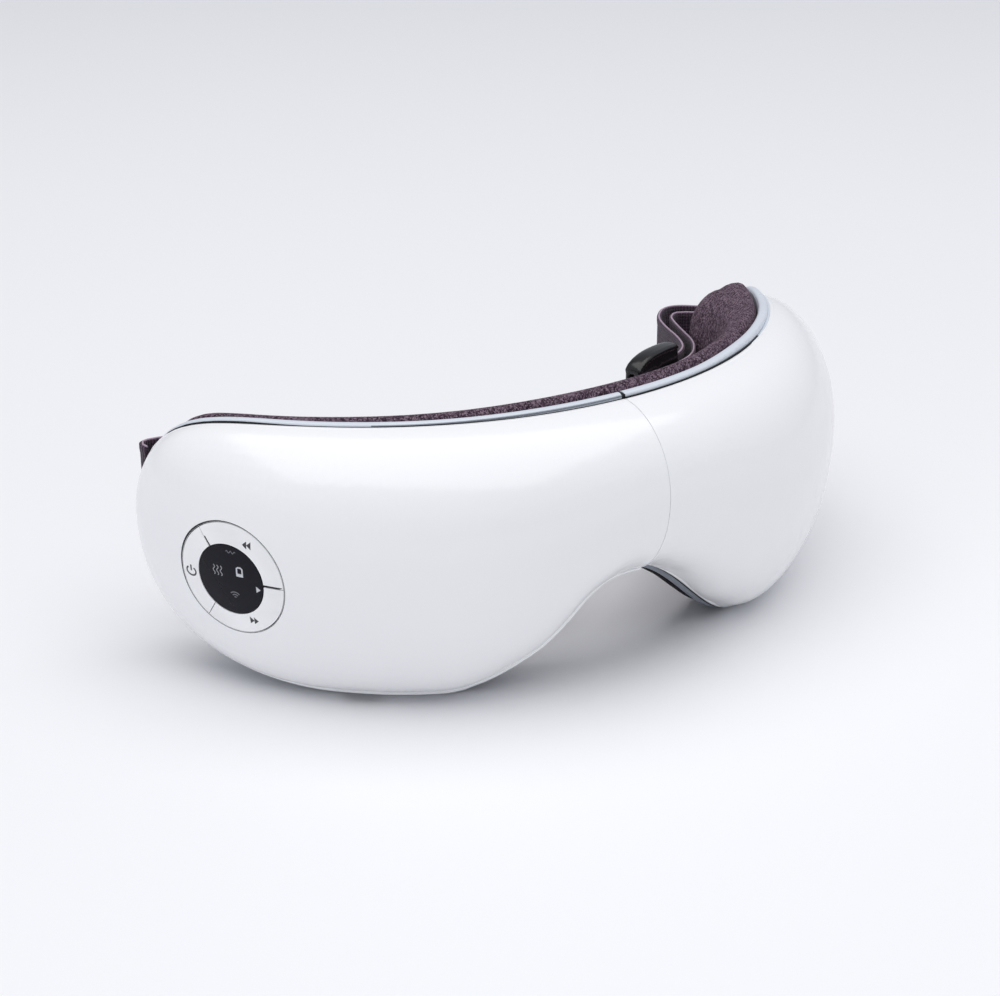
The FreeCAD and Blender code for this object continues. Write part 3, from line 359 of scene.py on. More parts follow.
def circuit(name):
    """Green solder mask with paler traces."""
    made = Finish(name, (0.02, 0.16, 0.07), 0.35, Coat_Weight=0.3)
    trace = made.wave(made.place(turn=(0.2, 0.5, 0.6)), 260, "Y", 6)
    made.join(made.ramp(trace, (0.55, (0.012, 0.12, 0.05)), (0.62, (0.05, 0.26, 0.12))), "Base Color")
    made.bump(trace, 0.1, 0.0001)
    return made.material


def heater():
    """Amber film with the printed heating track showing through."""
    made = Finish("amber_heater_film", (0.55, 0.27, 0.06), 0.3)
    track = made.wave(made.place(), 45, "Z", 2.5)
    made.join(made.ramp(track, (0.45, (0.52, 0.25, 0.05)), (0.55, (0.22, 0.10, 0.04))), "Base Color")
    made.bump(track, 0.15, 0.0001)
    return made.material


def ink(name, colour, rough):
    """Printed mark with a slightly broken edge of gloss."""
    made = Finish(name, colour, rough)
    speck = made.noise(made.place(), 3000, 2)
    made.join(made.ramp(speck, (0.3, tuple(value * 0.85 for value in colour)), (0.6, colour)), "Base Color")
    return made.material


WHITE = gloss_shell()
RIM = rim_plastic()
# Darker copy of the rim plastic, painted shade: the rim under the nose arch and in the left rim's groove
SHADED_RIM = moulded("rim_plastic_painted_shade", (0.23, 0.255, 0.295), 0.45)
CLOTH = heather(
    "heathered_lining", (0.020, 0.011, 0.020), (0.080, 0.050, 0.072), (0.235, 0.168, 0.212), (46, 90),
)
# Near-black copy of the lining cloth: painted shade on the lining's lower roll
LINING_UNDERSIDE_SHADE = heather(
    "lining_painted_underside_shade", (0.008, 0.007, 0.009), (0.016, 0.014, 0.017), (0.034, 0.029, 0.034), (46, 90),
)
ELASTIC = webbing()
BUTTON = moulded("satin_button", (0.93, 0.93, 0.935), 0.42, 2200)
WINDOW = moulded("dark_display_window", (0.006, 0.006, 0.011), 0.2, 1200, shine=0.15)
BLACK = moulded("black_gloss_slider", (0.012, 0.012, 0.013), 0.22, 1000)
# Near-black plastic laid into gaps as painted shade: the line between shell and rim, the split in the rim and
# the ring round the control panel
GAP_SHADE = moulded("painted_gap_shade", (0.012, 0.013, 0.015), 0.6, 1500, shine=0.2)
CORD = moulded("pale_selvage_cord", (0.42, 0.32, 0.40), 0.8, 2600, shine=0.2)
FILM = heater()
HOSE = moulded("milky_air_tube", (0.66, 0.67, 0.69), 0.35, 800)
DARK_INK = ink("dark_icon_ink", (0.04, 0.04, 0.05), 0.5)
PALE_INK = ink("pale_icon_ink", (0.62, 0.63, 0.66), 0.4)
SOFT_INK = ink("soft_icon_ink", (0.34, 0.34, 0.37), 0.4)
DIM_INK = ink("dim_icon_ink", (0.13, 0.13, 0.15), 0.4)

FINISHES = {
    WHITE: ("left_shell", "right_shell"),
    RIM: ("right_rim",),
    BUTTON: ("back_button", "power_button", "forward_button"),
    WINDOW: ("display_window",),
    moulded("grey_frame_plastic", (0.11, 0.115, 0.125), 0.55): (
        "left_frame", "right_frame", "panel_housing", "display_holder",
    ),
    moulded("air_cell_film", (0.17, 0.175, 0.19), 0.45, 700): ("left_airbag", "right_airbag"),
    FILM: ("left_heat_film", "right_heat_film"),
    moulded("black_matt_plastic", (0.015, 0.015, 0.017), 0.5): (
        "left_strap_anchor", "right_strap_anchor", "board_components", "tact_switches",
    ),
    metal("brushed_hinge_steel", (0.55, 0.56, 0.58), 0.32, (1, 1, 0.08)): (
        "left_hinge_leaf", "right_hinge_leaf", "hinge_pin", "left_case_screws", "right_case_screws",
        "charging_socket", "pump_motor", "release_valve", "left_vibration_motor", "right_vibration_motor",
        "left_vibration_weight", "right_vibration_weight",
    ),
    HOSE: ("right_air_tube",),
    circuit("green_circuit_board"): ("display_board", "main_board"),
    metal("foil_cell_wrap", (0.60, 0.62, 0.65), 0.4, (0.1, 1, 1)): ("battery",),
    moulded("white_pump_plastic", (0.62, 0.62, 0.60), 0.5): ("pump_head",),
}
for finish, nodes in FINISHES.items():
    for node in nodes:
        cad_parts[node].data.materials.clear()
        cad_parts[node].data.materials.append(finish)


# Form laws

def round_off(share, power):
    """Falls from one at the nose bridge to zero at the temple, round at the end."""
    return math.sqrt(max(1 - abs(share) ** power, 0))


def step(value, low, high):
    """Gentle step from zero to one."""
    share = min(max((value - low) / (high - low), 0), 1)
    return share * share * (3 - 2 * share)


def nose_arch(phi):
    """One at the nose bridge, zero at the lobes."""
    return (1 + math.cos(math.pi * min(abs(phi) / TEMPLE / ARCH_SHARE, 1))) / 2


def lobe_share(phi):
    """Zero at the nose bridge, one from the end of the arch on."""
    return step(abs(phi) / TEMPLE, 0, ARCH_SHARE)


def shell_edges(phi):
    """Lowest and highest point of the shell's edge at an angle."""
    share = min(abs(phi) / TEMPLE, 1)
    arch = nose_arch(phi)
    top = TIP + (BROW - BROW_FALL * share ** 2 - TIP) * round_off(share, BROW_POWER)
    bottom = TIP - (TIP - NOSE_ARCH * arch + 0.5 * (1 - arch)) * round_off(share, LOBE_POWER)
    return bottom, top


def belly_height(phi):
    """Height at which the shell stands out furthest at an angle."""
    bottom, top = shell_edges(phi)
    return bottom + (top - bottom) * (BELLY_SHARE + LOBE_BELLY * lobe_share(phi))


def rim_top(phi):
    """Height of the rim's upper edge, squarer at the temple than the shell's."""
    share = min(abs(phi) / TEMPLE, 1)
    return TIP + (BROW - BROW_FALL * share ** 2 - 0.3 - TIP) * round_off(share, RIM_POWER)


def about_axis(radius, phi, height):
    """Point from its place about the face axis, in millimetres."""
    return Vector((radius * math.sin(phi), AXIS_Y - radius * math.cos(phi), height))


def lower_lift(degrees):
    """Lift of the lower front at an angle, eased between the given ones."""
    last = len(LOWER_LIFT) - 1
    spot = min(degrees / LIFT_STEP, last - 1e-6)
    index = int(spot)
    share = spot - index
    before, start, end, after = (LOWER_LIFT[min(max(index + shift, 0), last)] for shift in (-1, 0, 1, 2))
    bend = 2 * before - 5 * start + 4 * end - after
    twist = 3 * (start - end) + after - before
    return start + share / 2 * (end - before + share * (bend + share * twist))


def drawn_up(spot):
    """Point of a shell with its lower front drawn up; its edge and its upper part stay."""
    phi = math.atan2(abs(spot.x), AXIS_Y - spot.y)
    bottom = shell_edges(phi)[0]
    share = (spot.z - bottom) / max(belly_height(phi) - bottom, 1)
    front = step(math.hypot(spot.x, spot.y - AXIS_Y), 103.2, 107.5)
    side = 1 if spot.x < 0 else RIGHT_LIFT_SHARE
    rise = side * lower_lift(math.degrees(phi)) * front * (1 - step(share, 0.1, 0.62))
    return spot + Vector((0, 0, rise))


def evened(points, gap):
    """The same line with points an even distance apart."""
    even, rest = [points[0]], 0.0
    for start, end in zip(points, points[1:]):
        length = (end - start).length
        spot = gap - rest
        while spot <= length:
            even.append(start + (end - start) * (spot / length))
            spot += gap
        rest = length - (spot - gap)
    return even


# Lining

def lining_edges(phi, end):
    """Lowest and highest point of the lining at an angle."""
    share = min(abs(phi) / end, 1)
    if phi > 0:
        puff = 2.0 + 0.8 * step(share, 0.7, 0.95)
    else:
        puff = 2.0 - 1.4 * step(share, 0, 0.5) - 1.2 * step(share, 0.4, 0.9)
    top = TIP + (BROW - BROW_FALL * share ** 2 + puff - TIP) * round_off(share, RIM_POWER)
    low = LINING_ARCH * nose_arch(phi) - 0.1
    bottom = TIP - (TIP - low) * round_off(share, LOBE_POWER)
    return max(bottom, 0.02), top


LINING_AROUND = 84
LINING_ALONG = 150
LINING_END = TEMPLE - 3.0 / FACE_RADIUS
LINING_SEAM = ((8, 0.25), (9, 0.75), (10, 0.3))


def arc(start, corner, end, count):
    """Points of a quarter ellipse inside a corner, without its last one."""
    made = []
    for index in range(count):
        turn = math.pi / 2 * index / count
        toward, along = 1 - math.cos(turn), math.sin(turn)
        made.append(tuple(
            s + (c - s) * along + (e - c) * toward for s, c, e in zip(start, corner, end)
        ))
    return made


def line(start, end, count, crown=0.0):
    """Points of a slightly crowned line, without its last one."""
    made = []
    for index in range(count):
        share = index / count
        swell = crown * 4 * share * (1 - share)
        made.append((start[0] + (end[0] - start[0]) * share - swell, start[1] + (end[1] - start[1]) * share))
    return made


def lining_section(phi):
    """Outline of the lining at an angle: distance from the face axis and height, once around."""
    bottom, top = lining_edges(phi, LINING_END)
    share = min(abs(phi) / LINING_END, 1)
    fade = max(round_off(share, RIM_POWER), 0.12)
    swell = RIGHT_SWELL if phi > 0 else LEFT_SWELL
    back = PAD_FRONT - (PAD_THICKNESS + swell * step(share, 0.55, 1)) * fade
    roll = PAD_FRONT - PAD_ROLL * fade
    corner = (top - bottom) * (0.13 + 0.1 * step(share, 0.6, 0.9))
    draw = corner / 2 * fade
    points = arc((PAD_FRONT, top - draw), (PAD_FRONT, top), (roll, top), 6)
    points += arc((roll, top), (back, top), (back, top - corner), 12)
    points += line((back, top - corner), (back, bottom + corner), 30, 0.7 * fade)
    points += arc((back, bottom + corner), (back, bottom), (roll, bottom), 12)
    points += arc((roll, bottom), (PAD_FRONT, bottom), (PAD_FRONT, bottom + draw), 6)
    points += line((PAD_FRONT, bottom + draw), (PAD_FRONT, top - draw), 18)
    for index, sink in LINING_SEAM:
        points[index] = (points[index][0], points[index][1] - sink * fade)
    return points


def lining_point(phi, radius, height):
    """Place of a lining point, with room for the hinge and the strap tabs and with soft unevenness."""
    side = abs(phi)
    across = radius * math.sin(side)
    hinge = (1 - step(across, 5, 11)) * step(height, 33, 37) * (1 - step(height, 65, 69))
    tab = step(math.degrees(side), 62.5, 65.5) * step(height, 28, 31) * (1 - step(height, 57, 60))
    radius = min(radius, PAD_FRONT - 6.2 * hinge, PAD_FRONT - 2.1 * tab)
    inner = step(PAD_FRONT - radius, 1.5, 7)
    place = about_axis(radius, phi, height)
    broad = noise.noise(place / 16)
    crease = noise.noise(Vector((math.degrees(phi) / 2.6, height / 26, 3)))
    strength = 0.25 + 0.55 * step(math.degrees(side), 40, 62)
    swell = inner * (0.30 * broad + strength * 0.45 * crease)
    return about_axis(radius - swell, phi, height) * MM


def make_lining():
    """Padded lining of both halves in one piece, soft over the fold, with its lower roll painted near black as
    shade.
    """
    piece = tube("padded_lining", LINING_AROUND, LINING_ALONG)
    sections, spots = {}, {}
    for vertex in piece.data.vertices:
        index = round(math.atan2(vertex.co.y, vertex.co.x) / (2 * math.pi) * LINING_AROUND) % LINING_AROUND
        level = round((vertex.co.z + 0.5) * LINING_ALONG)
        if level not in sections:
            share = 2 * level / LINING_ALONG - 1
            phi = LINING_END * 0.9985 * share * (1.5 - 0.5 * share * share)
            sections[level] = (phi, lining_section(phi))
        phi, points = sections[level]
        spots[vertex.index] = index
        vertex.co = lining_point(phi, *points[index])
    for face in piece.data.polygons:
        # Faces of the lower roll take the near-black cloth, painted shade
        face.material_index = int(all(54 <= spots[corner] <= 66 for corner in face.vertices))
    outward(piece)
    smooth_by_angle(piece, 70)
    piece.data.materials.append(CLOTH)
    piece.data.materials.append(LINING_UNDERSIDE_SHADE)
    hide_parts("left_face_pad", "right_face_pad", "lining_bridge")
    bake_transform(piece)
    return piece


make_lining()


# Lines along the edge of each shell

def edge_line(side, radius, drop, lift=0.0):
    """Even points along a shell's edge: from the seam over the brow, round the temple and back below."""
    upper, lower = [], []
    for index in range(121):
        phi = 0.2 / radius + (TEMPLE * 0.9995 - 0.2 / radius) * (1 - (1 - index / 120) ** 3)
        bottom, top = shell_edges(phi)
        rise = lift * step(phi / TEMPLE, 0.62, 0.78)
        upper.append(about_axis(radius, side * phi, top - drop + rise * (top - TIP) / (BROW - TIP)))
        lower.append(about_axis(radius, side * phi, max(bottom + drop, 0.8)))
    return evened(upper + lower[::-1], POINT_GAP)


def bead(name, points, size, around, finish):
    """Bead along points on an upright wall about the face axis; its width and height depend on the point."""
    piece = tube(name, around, len(points) - 1)
    ahead = [after - before for before, after in zip(points[:1] + points, points[1:] + points[-1:])]
    for vertex in piece.data.vertices:
        turn = math.atan2(vertex.co.y, vertex.co.x)
        index = round((vertex.co.z + 0.5) * (len(points) - 1))
        spot = points[index]
        wide, high = size(spot)
        out = Vector((spot.x, spot.y - AXIS_Y, 0)).normalized()
        across = ahead[index].normalized().cross(out).normalized()
        section = (math.cos(turn), math.sin(turn))
        sideways, upright = (math.copysign(abs(value) ** 0.7, value) for value in section)
        vertex.co = (spot + out * sideways * wide / 2 + across * upright * high / 2) * MM
    outward(piece)
    smooth_by_angle(piece, 60)
    piece.data.materials.append(finish)
    return piece


def gap_shade_size(spot):
    """Width of the dark bead of painted shade in the gap between shell and rim: strong at the left temple, thin
    over the brow, fading into the rim on the right.
    """
    if spot.z < TIP:
        return 0.8, 0.8
    if spot.x > 0:
        width = 0.85 - 0.7 * step(spot.x, 44, 60) + 0.65 * step(spot.x, 61, 72)
    else:
        width = 0.35 + 0.45 * step(-spot.x, 74, 86)
    return 0.8, width


def edge_beads():
    """Dark bead of painted shade in the gap between shell and rim, and the rounded white lip of the shell in
    front of it.
    """
    for side, half in ((-1, "left"), (1, "right")):
        # The dark bead is painted shade in the gap behind the shell's edge
        gap_shade_line = edge_line(side, GAP_SHADE_RADIUS, 0.15, 0.1 - side * 0.1)
        gap_shade_bead = bead(f"{half}_gap_shade_edge", gap_shade_line, gap_shade_size, 16, GAP_SHADE)
        gap_shade_bead.data.materials.append(RIM)
        for face in gap_shade_bead.data.polygons:
            face.material_index = int(face.center.x > 60.5 * MM and face.center.z > 20 * MM)
        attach(gap_shade_bead, f"{half}_half")
        lip = bead(f"{half}_shell_lip", edge_line(side, LIP_RADIUS, 0.72), lambda spot: (1.5, 1.5), 24, WHITE)
        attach(lip, f"{half}_half")


def rim_share(spot):
    """Place along the rim: zero at the nose bridge, one at the temple."""
    return min(math.atan2(abs(spot.x), AXIS_Y - spot.y) / TEMPLE, 1)


def left_rim_size(spot):
    """Section of the left rim, drawn in at the temple."""
    return 2.8, 4.7 * max(round_off(rim_share(spot), 8), 0.2)


def left_rim_line():
    """Even points along the left rim, from the split over the brow, round the temple and back."""
    upper, lower = [], []
    for index in range(141):
        phi = RIM_SPLIT + (TEMPLE * 0.99 - RIM_SPLIT) * (1 - (1 - index / 140) ** 2)
        share = phi / TEMPLE
        bottom, top = shell_edges(phi)
        lift = 1.2 - 0.6 * step(share, 0, 0.45) + 0.3 * step(share, 0.6, 0.8)
        half = 2.35 * max(round_off(share, 8), 0.2)
        upper.append(about_axis(RIM_MIDDLE, -phi, top - half + lift * (top - TIP) / (BROW - TIP)))
        lower.append(about_axis(RIM_MIDDLE, -phi, max(bottom, 0) + 0.3 + half))
    return evened(upper + lower[::-1], POINT_GAP)


def crown_size(spot):
    """Section of the right rim's step, dying out at the temple."""
    fade = 1 - 0.9 * step(rim_share(spot), 0.86, 0.98)
    return 2.7 * fade, 2.4 * fade


def groove_line():
    """Even points along the front of the left rim, where its fine groove runs."""
    spots = []
    for index in range(101):
        phi = RIM_SPLIT + 0.5 * TEMPLE * index / 100
        height = shell_edges(phi)[1] + 0.62 - 0.5 * step(phi / TEMPLE, 0, 0.5)
        spots.append(about_axis(GROOVE_RADIUS, -phi, height))
    return evened(spots, POINT_GAP)


def crown_line():
    """Even points along the top of the right rim, where its raised step runs."""
    spots = []
    for index in range(141):
        phi = RIM_SPLIT + (TEMPLE * 0.985 - RIM_SPLIT) * index / 140
        share = phi / TEMPLE
        lift = 1.5 + 0.6 * step(share, 0.2, 0.4) - 1.4 * step(share, 0.5, 0.85)
        spots.append(about_axis(RIM_MIDDLE, phi, rim_top(phi) + lift - 1.2))
    return evened(spots, POINT_GAP)


def arch_line(side):
    """Even points along the bottom of the rim over the nose arch."""
    spots = []
    for index in range(61):
        phi = side * (RIM_SPLIT + 0.37 * TEMPLE * index / 60)
        height = shell_edges(phi)[0] + 1.2 - 1.5 * nose_arch(phi) ** 0.5
        spots.append(about_axis(RIM_MIDDLE, phi, max(height, 1.25)))
    return evened(spots, POINT_GAP)


def rim_pieces():
    """Left rim close to the shell's edge, with a thin darker bead as painted shade in its groove, and the steps
    along right rim and nose arch, those over the nose arch painted darker as shade.
    """
    left = bead("left_rim_band", left_rim_line(), left_rim_size, 32, RIM)
    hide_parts("left_rim")
    right = bead("right_brow_step", crown_line(), crown_size, 24, RIM)
    groove = bead("left_rim_groove_shade", groove_line(), lambda spot: (0.5, 0.3), 12, SHADED_RIM)
    pieces = [(left, "left"), (right, "right"), (groove, "left")]
    for side, half in ((-1, "left"), (1, "right")):
        arch = bead(f"{half}_arch_step", arch_line(side), lambda spot: (2.7, 2.4), 24, SHADED_RIM)
        pieces.append((arch, half))
    for piece, half in pieces:
        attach(piece, f"{half}_half")


def lower_line():
    """Even points along the lower front of the left shell, where it turns under."""
    spots = []
    for index in range(141):
        side = math.radians(0.1 + 59.9 * index / 140)
        degrees = math.degrees(side)
        belly = belly_height(side)
        depth = FRONT_DEPTH + (LOBE_DEPTH - FRONT_DEPTH) * lobe_share(side)
        depth *= round_off(side / TEMPLE, 2.2)
        turn = 57 + 18 * step(degrees, 8, 28) + 8 * (1 - step(degrees, 0, 4)) - 6 * step(degrees, 45, 66)
        down, out = math.sin(math.radians(turn)), math.cos(math.radians(turn))
        height = belly - (belly - shell_edges(side)[0]) * down
        spots.append(drawn_up(about_axis(FACE_RADIUS + depth * out, -side, max(height, 0.5))))
    return evened(spots, 1.0)


def lower_lip():
    """Fine raised lip along the lower front of the left shell, dying out towards the temple."""
    def size(spot):
        width = 0.8 + 0.3 * step(-spot.x, 8, 30) - 1.0 * step(-spot.x, 70, 92)
        return width, width

    lip = bead("left_lower_lip", lower_line(), size, 20, WHITE)
    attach(lip, "left_half")


edge_beads()
rim_pieces()
lower_lip()


def seam_filler():
    """Pale plate between the end walls of the two shells, a little below their surface."""
    deselect()
    bpy.ops.mesh.primitive_circle_add(vertices=96, radius=1, fill_type="NGON")
    plate = named("seam_filler")
    low, high = shell_edges(0)
    belly = belly_height(0)
    for vertex in plate.data.vertices:
        x, y = vertex.co.x, vertex.co.y
        reach = (high - belly if y > 0 else belly - low) - 0.35
        depth = (FRONT_DEPTH - 0.35) * max(x, 0)
        vertex.co = Vector((0, AXIS_Y - FACE_RADIUS - depth - 0.2, belly + reach * y)) * MM
    applied(plate, "SOLIDIFY", thickness=0.24 * MM, offset=0)
    outward(plate)
    plate.data.materials.append(WHITE)
    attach(plate, "left_half")


seam_filler()


def split_shade_blocks():
    """Dark blocks filling the split of the rim over the nose bridge, above and below, as painted shade in the
    slot.
    """
    sides = (Vector((1, 0, 0)), Vector((0, 1, 0)), Vector((0, 0, 1)))
    for height, name in ((73.1, "upper_split_painted_shade"), (29.9, "lower_split_painted_shade")):
        centre = Vector((0, AXIS_Y - 101.2, height)) * MM
        split_shade = block(centre, sides, (0.96 * MM, 2.8 * MM, 5.0 * MM), 0.12 * MM)
        split_shade.name = name
        split_shade.data.name = name
        smooth_by_angle(split_shade, 40)
        # Near-black, standing in as painted shade in the slot
        split_shade.data.materials.append(GAP_SHADE)
        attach(split_shade, "left_half")


split_shade_blocks()


# Links over the hinge

def hinge_links():
    """Flat cable and air hose that bend from half to half over the hinge."""
    cable_radius, cable_length, cable_width, cable_height = 101.95, 44, 4, 65.98
    cable = ribbon("hinge_cable", 48, 4)
    for vertex in cable.data.vertices:
        phi = math.asin(vertex.co.x * cable_length / cable_radius)
        vertex.co = about_axis(cable_radius, phi, cable_height + vertex.co.y * cable_width) * MM
    applied(cable, "SOLIDIFY", thickness=0.7 * MM, offset=0)
    applied(cable, "BEVEL", width=0.15 * MM, segments=2, limit_method="ANGLE")
    hose_radius, hose_angle, hose_half, hose_height = 101.1, math.radians(27.7), 1.2, 36.19
    hose = tube("bridge_air_hose", 24, 48)
    for vertex in hose.data.vertices:
        out, phi = hose_radius + hose_half * vertex.co.x, vertex.co.z * hose_angle
        vertex.co = about_axis(out, phi, hose_height + hose_half * vertex.co.y) * MM
    links = ((cable, "hinge_harness", "heat_film", FILM), (hose, "bridge_air_tube", "tube", HOSE))
    for piece, node, slot, finish in links:
        outward(piece)
        smooth_by_angle(piece, 50)
        piece.data.materials.append(finish)
        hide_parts(node)
        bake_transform(piece)


hinge_links()


# Strap and slider

def route(points):
    """Even points a millimetre apart along a route with eased corners."""
    corners = [Vector((x, y)) for x, y in points]
    fine = [corners[0]]
    for before, corner, after in zip(corners, corners[1:], corners[2:]):
        reach = 0.48 * min((corner - before).length, (after - corner).length)
        start = corner + (before - corner).normalized() * reach
        end = corner + (after - corner).normalized() * reach
        for index in range(13):
            share = index / 12
            fine.append(start * (1 - share) ** 2 + corner * 2 * share * (1 - share) + end * share ** 2)
    fine.append(corners[-1])
    even = evened(fine, 1.0)
    for _ in range(6):
        eased = [(a + 2 * b + c) / 4 for a, b, c in zip(even, even[1:], even[2:])]
        even = [even[0]] + eased + [even[-1]]
    return even


def strap_cord(centre, height):
    """Pale cord along the middle of one edge of the band."""
    cord = tube("strap_cord", 12, len(centre) - 1)
    for vertex in cord.data.vertices:
        index = round((vertex.co.z + 0.5) * (len(centre) - 1))
        ahead = centre[min(index + 1, len(centre) - 1)] - centre[max(index - 1, 0)]
        sideways = Vector((-ahead.y, ahead.x, 0)).normalized()
        spot = Vector((centre[index].x, centre[index].y, height))
        vertex.co = (spot + (sideways * vertex.co.x + Vector((0, 0, vertex.co.y))) * 0.27) * MM
    outward(cord)
    smooth_by_angle(cord, 60)
    cord.data.materials.append(CORD)
    return cord


def strap_band(name, points):
    """Elastic band on its edge along a route, thicker at its two edges."""
    centre = route(points)
    along, across = len(centre) - 1, 20
    piece = ribbon(name, along, across)
    thick = piece.vertex_groups.new(name="thick")
    for vertex in piece.data.vertices:
        column = round((vertex.co.x + 0.5) * along)
        share = vertex.co.y + 0.5
        edge = min(share, 1 - share)
        thick.add([vertex.index], 1.0 if edge < 0.06 else 0.72, "REPLACE")
        sway = 0.12 * noise.noise(Vector((column / 9, share * 3, 5)))
        spot = centre[column]
        vertex.co = Vector((spot.x, spot.y + sway, STRAP_BOTTOM + (STRAP_TOP - STRAP_BOTTOM) * share)) * MM
    for corner in piece.data.uv_layers.active.data:
        corner.uv.x *= along / 290
    applied(
        piece, "SOLIDIFY", thickness=STRAP_THICKNESS * MM, offset=0, vertex_group="thick", use_even_offset=True,
    )
    applied(piece, "BEVEL", width=0.35 * MM, segments=2, limit_method="ANGLE", angle_limit=math.radians(60))
    outward(piece)
    smooth_by_angle(piece, 50)
    piece.data.materials.append(ELASTIC)
    cords = [strap_cord(centre, height) for height in (STRAP_BOTTOM, STRAP_TOP)]
    only(piece)
    for cord in cords:
        cord.select_set(True)
    bpy.ops.object.join()
    return piece


strap_main = strap_band("strap_main_run", STRAP_MAIN)
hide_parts("head_strap")
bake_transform(strap_main)
strap_tail = strap_band("strap_tail", STRAP_TAIL)
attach(strap_tail, "right_half")


def make_slider():
    """Black ladder slider: two bowed rails and three staggered bars, melted into one moulded piece."""
    sides = (SLIDER_ALONG, SLIDER_ACROSS, Vector((0, 0, 1)))

    def spot(x, y, z):
        return SLIDER + (SLIDER_ALONG * x + SLIDER_ACROSS * y + sides[2] * z) * MM

    parts = []
    for sign in (-1, 1):
        for middle, half_width, drop in ((0, 2.7, 1.9), (-1.6, 0.9, 9.0)):
            rail = tube("rail", 24, 40)
            for vertex in rail.data.vertices:
                share = vertex.co.z * 2
                fall = share if share < 0 else share * 0.6
                height = 15.7 + 3.7 * math.sqrt(max(1 - fall * fall * 0.98, 0))
                foot = max(height - drop, 11.0)
                upright = foot + (height - foot) * (0.5 + vertex.co.y / 2)
                vertex.co = spot(share * 10, middle + vertex.co.x * half_width, sign * upright)
            outward(rail)
            parts.append(rail)
    for x, y in ((-8.4, 1.75), (0, -1.75), (8.4, 1.75)):
        parts.append(block(spot(x, y, 0), sides, (3.2 * MM, 1.8 * MM, 32.6 * MM), 0.8 * MM))
    only(parts[0])
    for part in parts:
        part.select_set(True)
    bpy.ops.object.join()
    piece = named("black_slider")
    applied(piece, "REMESH", mode="VOXEL", voxel_size=0.32 * MM)
    applied(piece, "SMOOTH", factor=0.5, iterations=6)
    smooth_by_angle(piece, 80)
    piece.data.materials.clear()
    piece.data.materials.append(BLACK)
    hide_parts("strap_slider")
    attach(piece, "slider")
    return piece


make_slider()


# Icons on the control panel

def on_panel(x, y, out=0.0):
    """Point over the panel from its place on it, in millimetres."""
    return PANEL + (PANEL_RIGHT * x + PANEL_UP * y + PANEL_OUT * out) * MM


def inlay(name, pieces, node, finish):
    """Joins flat marks, lays them on a node's surface and gives them a little thickness."""
    only(pieces[0])
    for piece in pieces:
        piece.select_set(True)
    bpy.ops.object.join()
    mark = named(name)
    surface = BVHTree.FromObject(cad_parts[node], bpy.context.evaluated_depsgraph_get())
    for vertex in mark.data.vertices:
        above = on_panel(vertex.co.x, vertex.co.y, 4)
        hit = surface.ray_cast(above, -PANEL_OUT)[0] or surface.find_nearest(above)[0]
        vertex.co = hit + PANEL_OUT * 0.03 * MM
    applied(mark, "SOLIDIFY", thickness=0.06 * MM, offset=-1)
    outward(mark)
    mark.data.materials.clear()
    mark.data.materials.append(finish)
    return mark


def stroke(points, width):
    """Flat line of a given width through points: a plane whose ends are drawn out."""
    count = len(points) - 1
    piece = ribbon("stroke", count, 1)
    places = [Vector((*point, 0)) for point in points]
    for vertex in piece.data.vertices:
        index = round((vertex.co.x + 0.5) * count)
        ahead = places[min(index + 1, count)] - places[max(index - 1, 0)]
        sideways = Vector((-ahead.y, ahead.x, 0)).normalized()
        vertex.co = places[index] + sideways * (vertex.co.y * width)
    return piece


def bow(x, y, radius, first, last, width, count=20, stretch=1.0):
    """Part of a ring as a stroke, stretched sideways where the surface is seen at a slant."""
    spots = []
    for index in range(count + 1):
        turn = math.radians(first + (last - first) * index / count)
        spots.append((x + stretch * radius * math.cos(turn), y + radius * math.sin(turn)))
    return stroke(spots, width)


def wedge(x, y, width, height):
    """Triangle that points to the right, or to the left with a negative width."""
    spots = [(x - width / 2, y), (x, y), (x + width / 2, y)]
    piece = stroke(spots, height)
    for vertex in piece.data.vertices:
        share = (vertex.co.x - (x - width / 2)) / width
        vertex.co.y = y + (vertex.co.y - y) * (1.02 - share)
    return piece


def crescent(radius, middle, width):
    """Ring line that is widest on one side."""
    piece = bow(0, 0, radius, 0, 360, 1.0, 96)
    for vertex in piece.data.vertices:
        spot = Vector((vertex.co.x, vertex.co.y))
        lean = math.cos(math.atan2(spot.y, spot.x) - math.radians(middle))
        wide = width * (0.25 + 0.75 * max(lean, 0) ** 2)
        reach = radius + (0.0 if spot.length < radius else wide)
        vertex.co = (*(spot.normalized() * reach), 0)
    return piece


def around_panel(radius, degrees):
    """Place on the button ring."""
    turn = math.radians(degrees)
    return radius * math.cos(turn), radius * math.sin(turn)


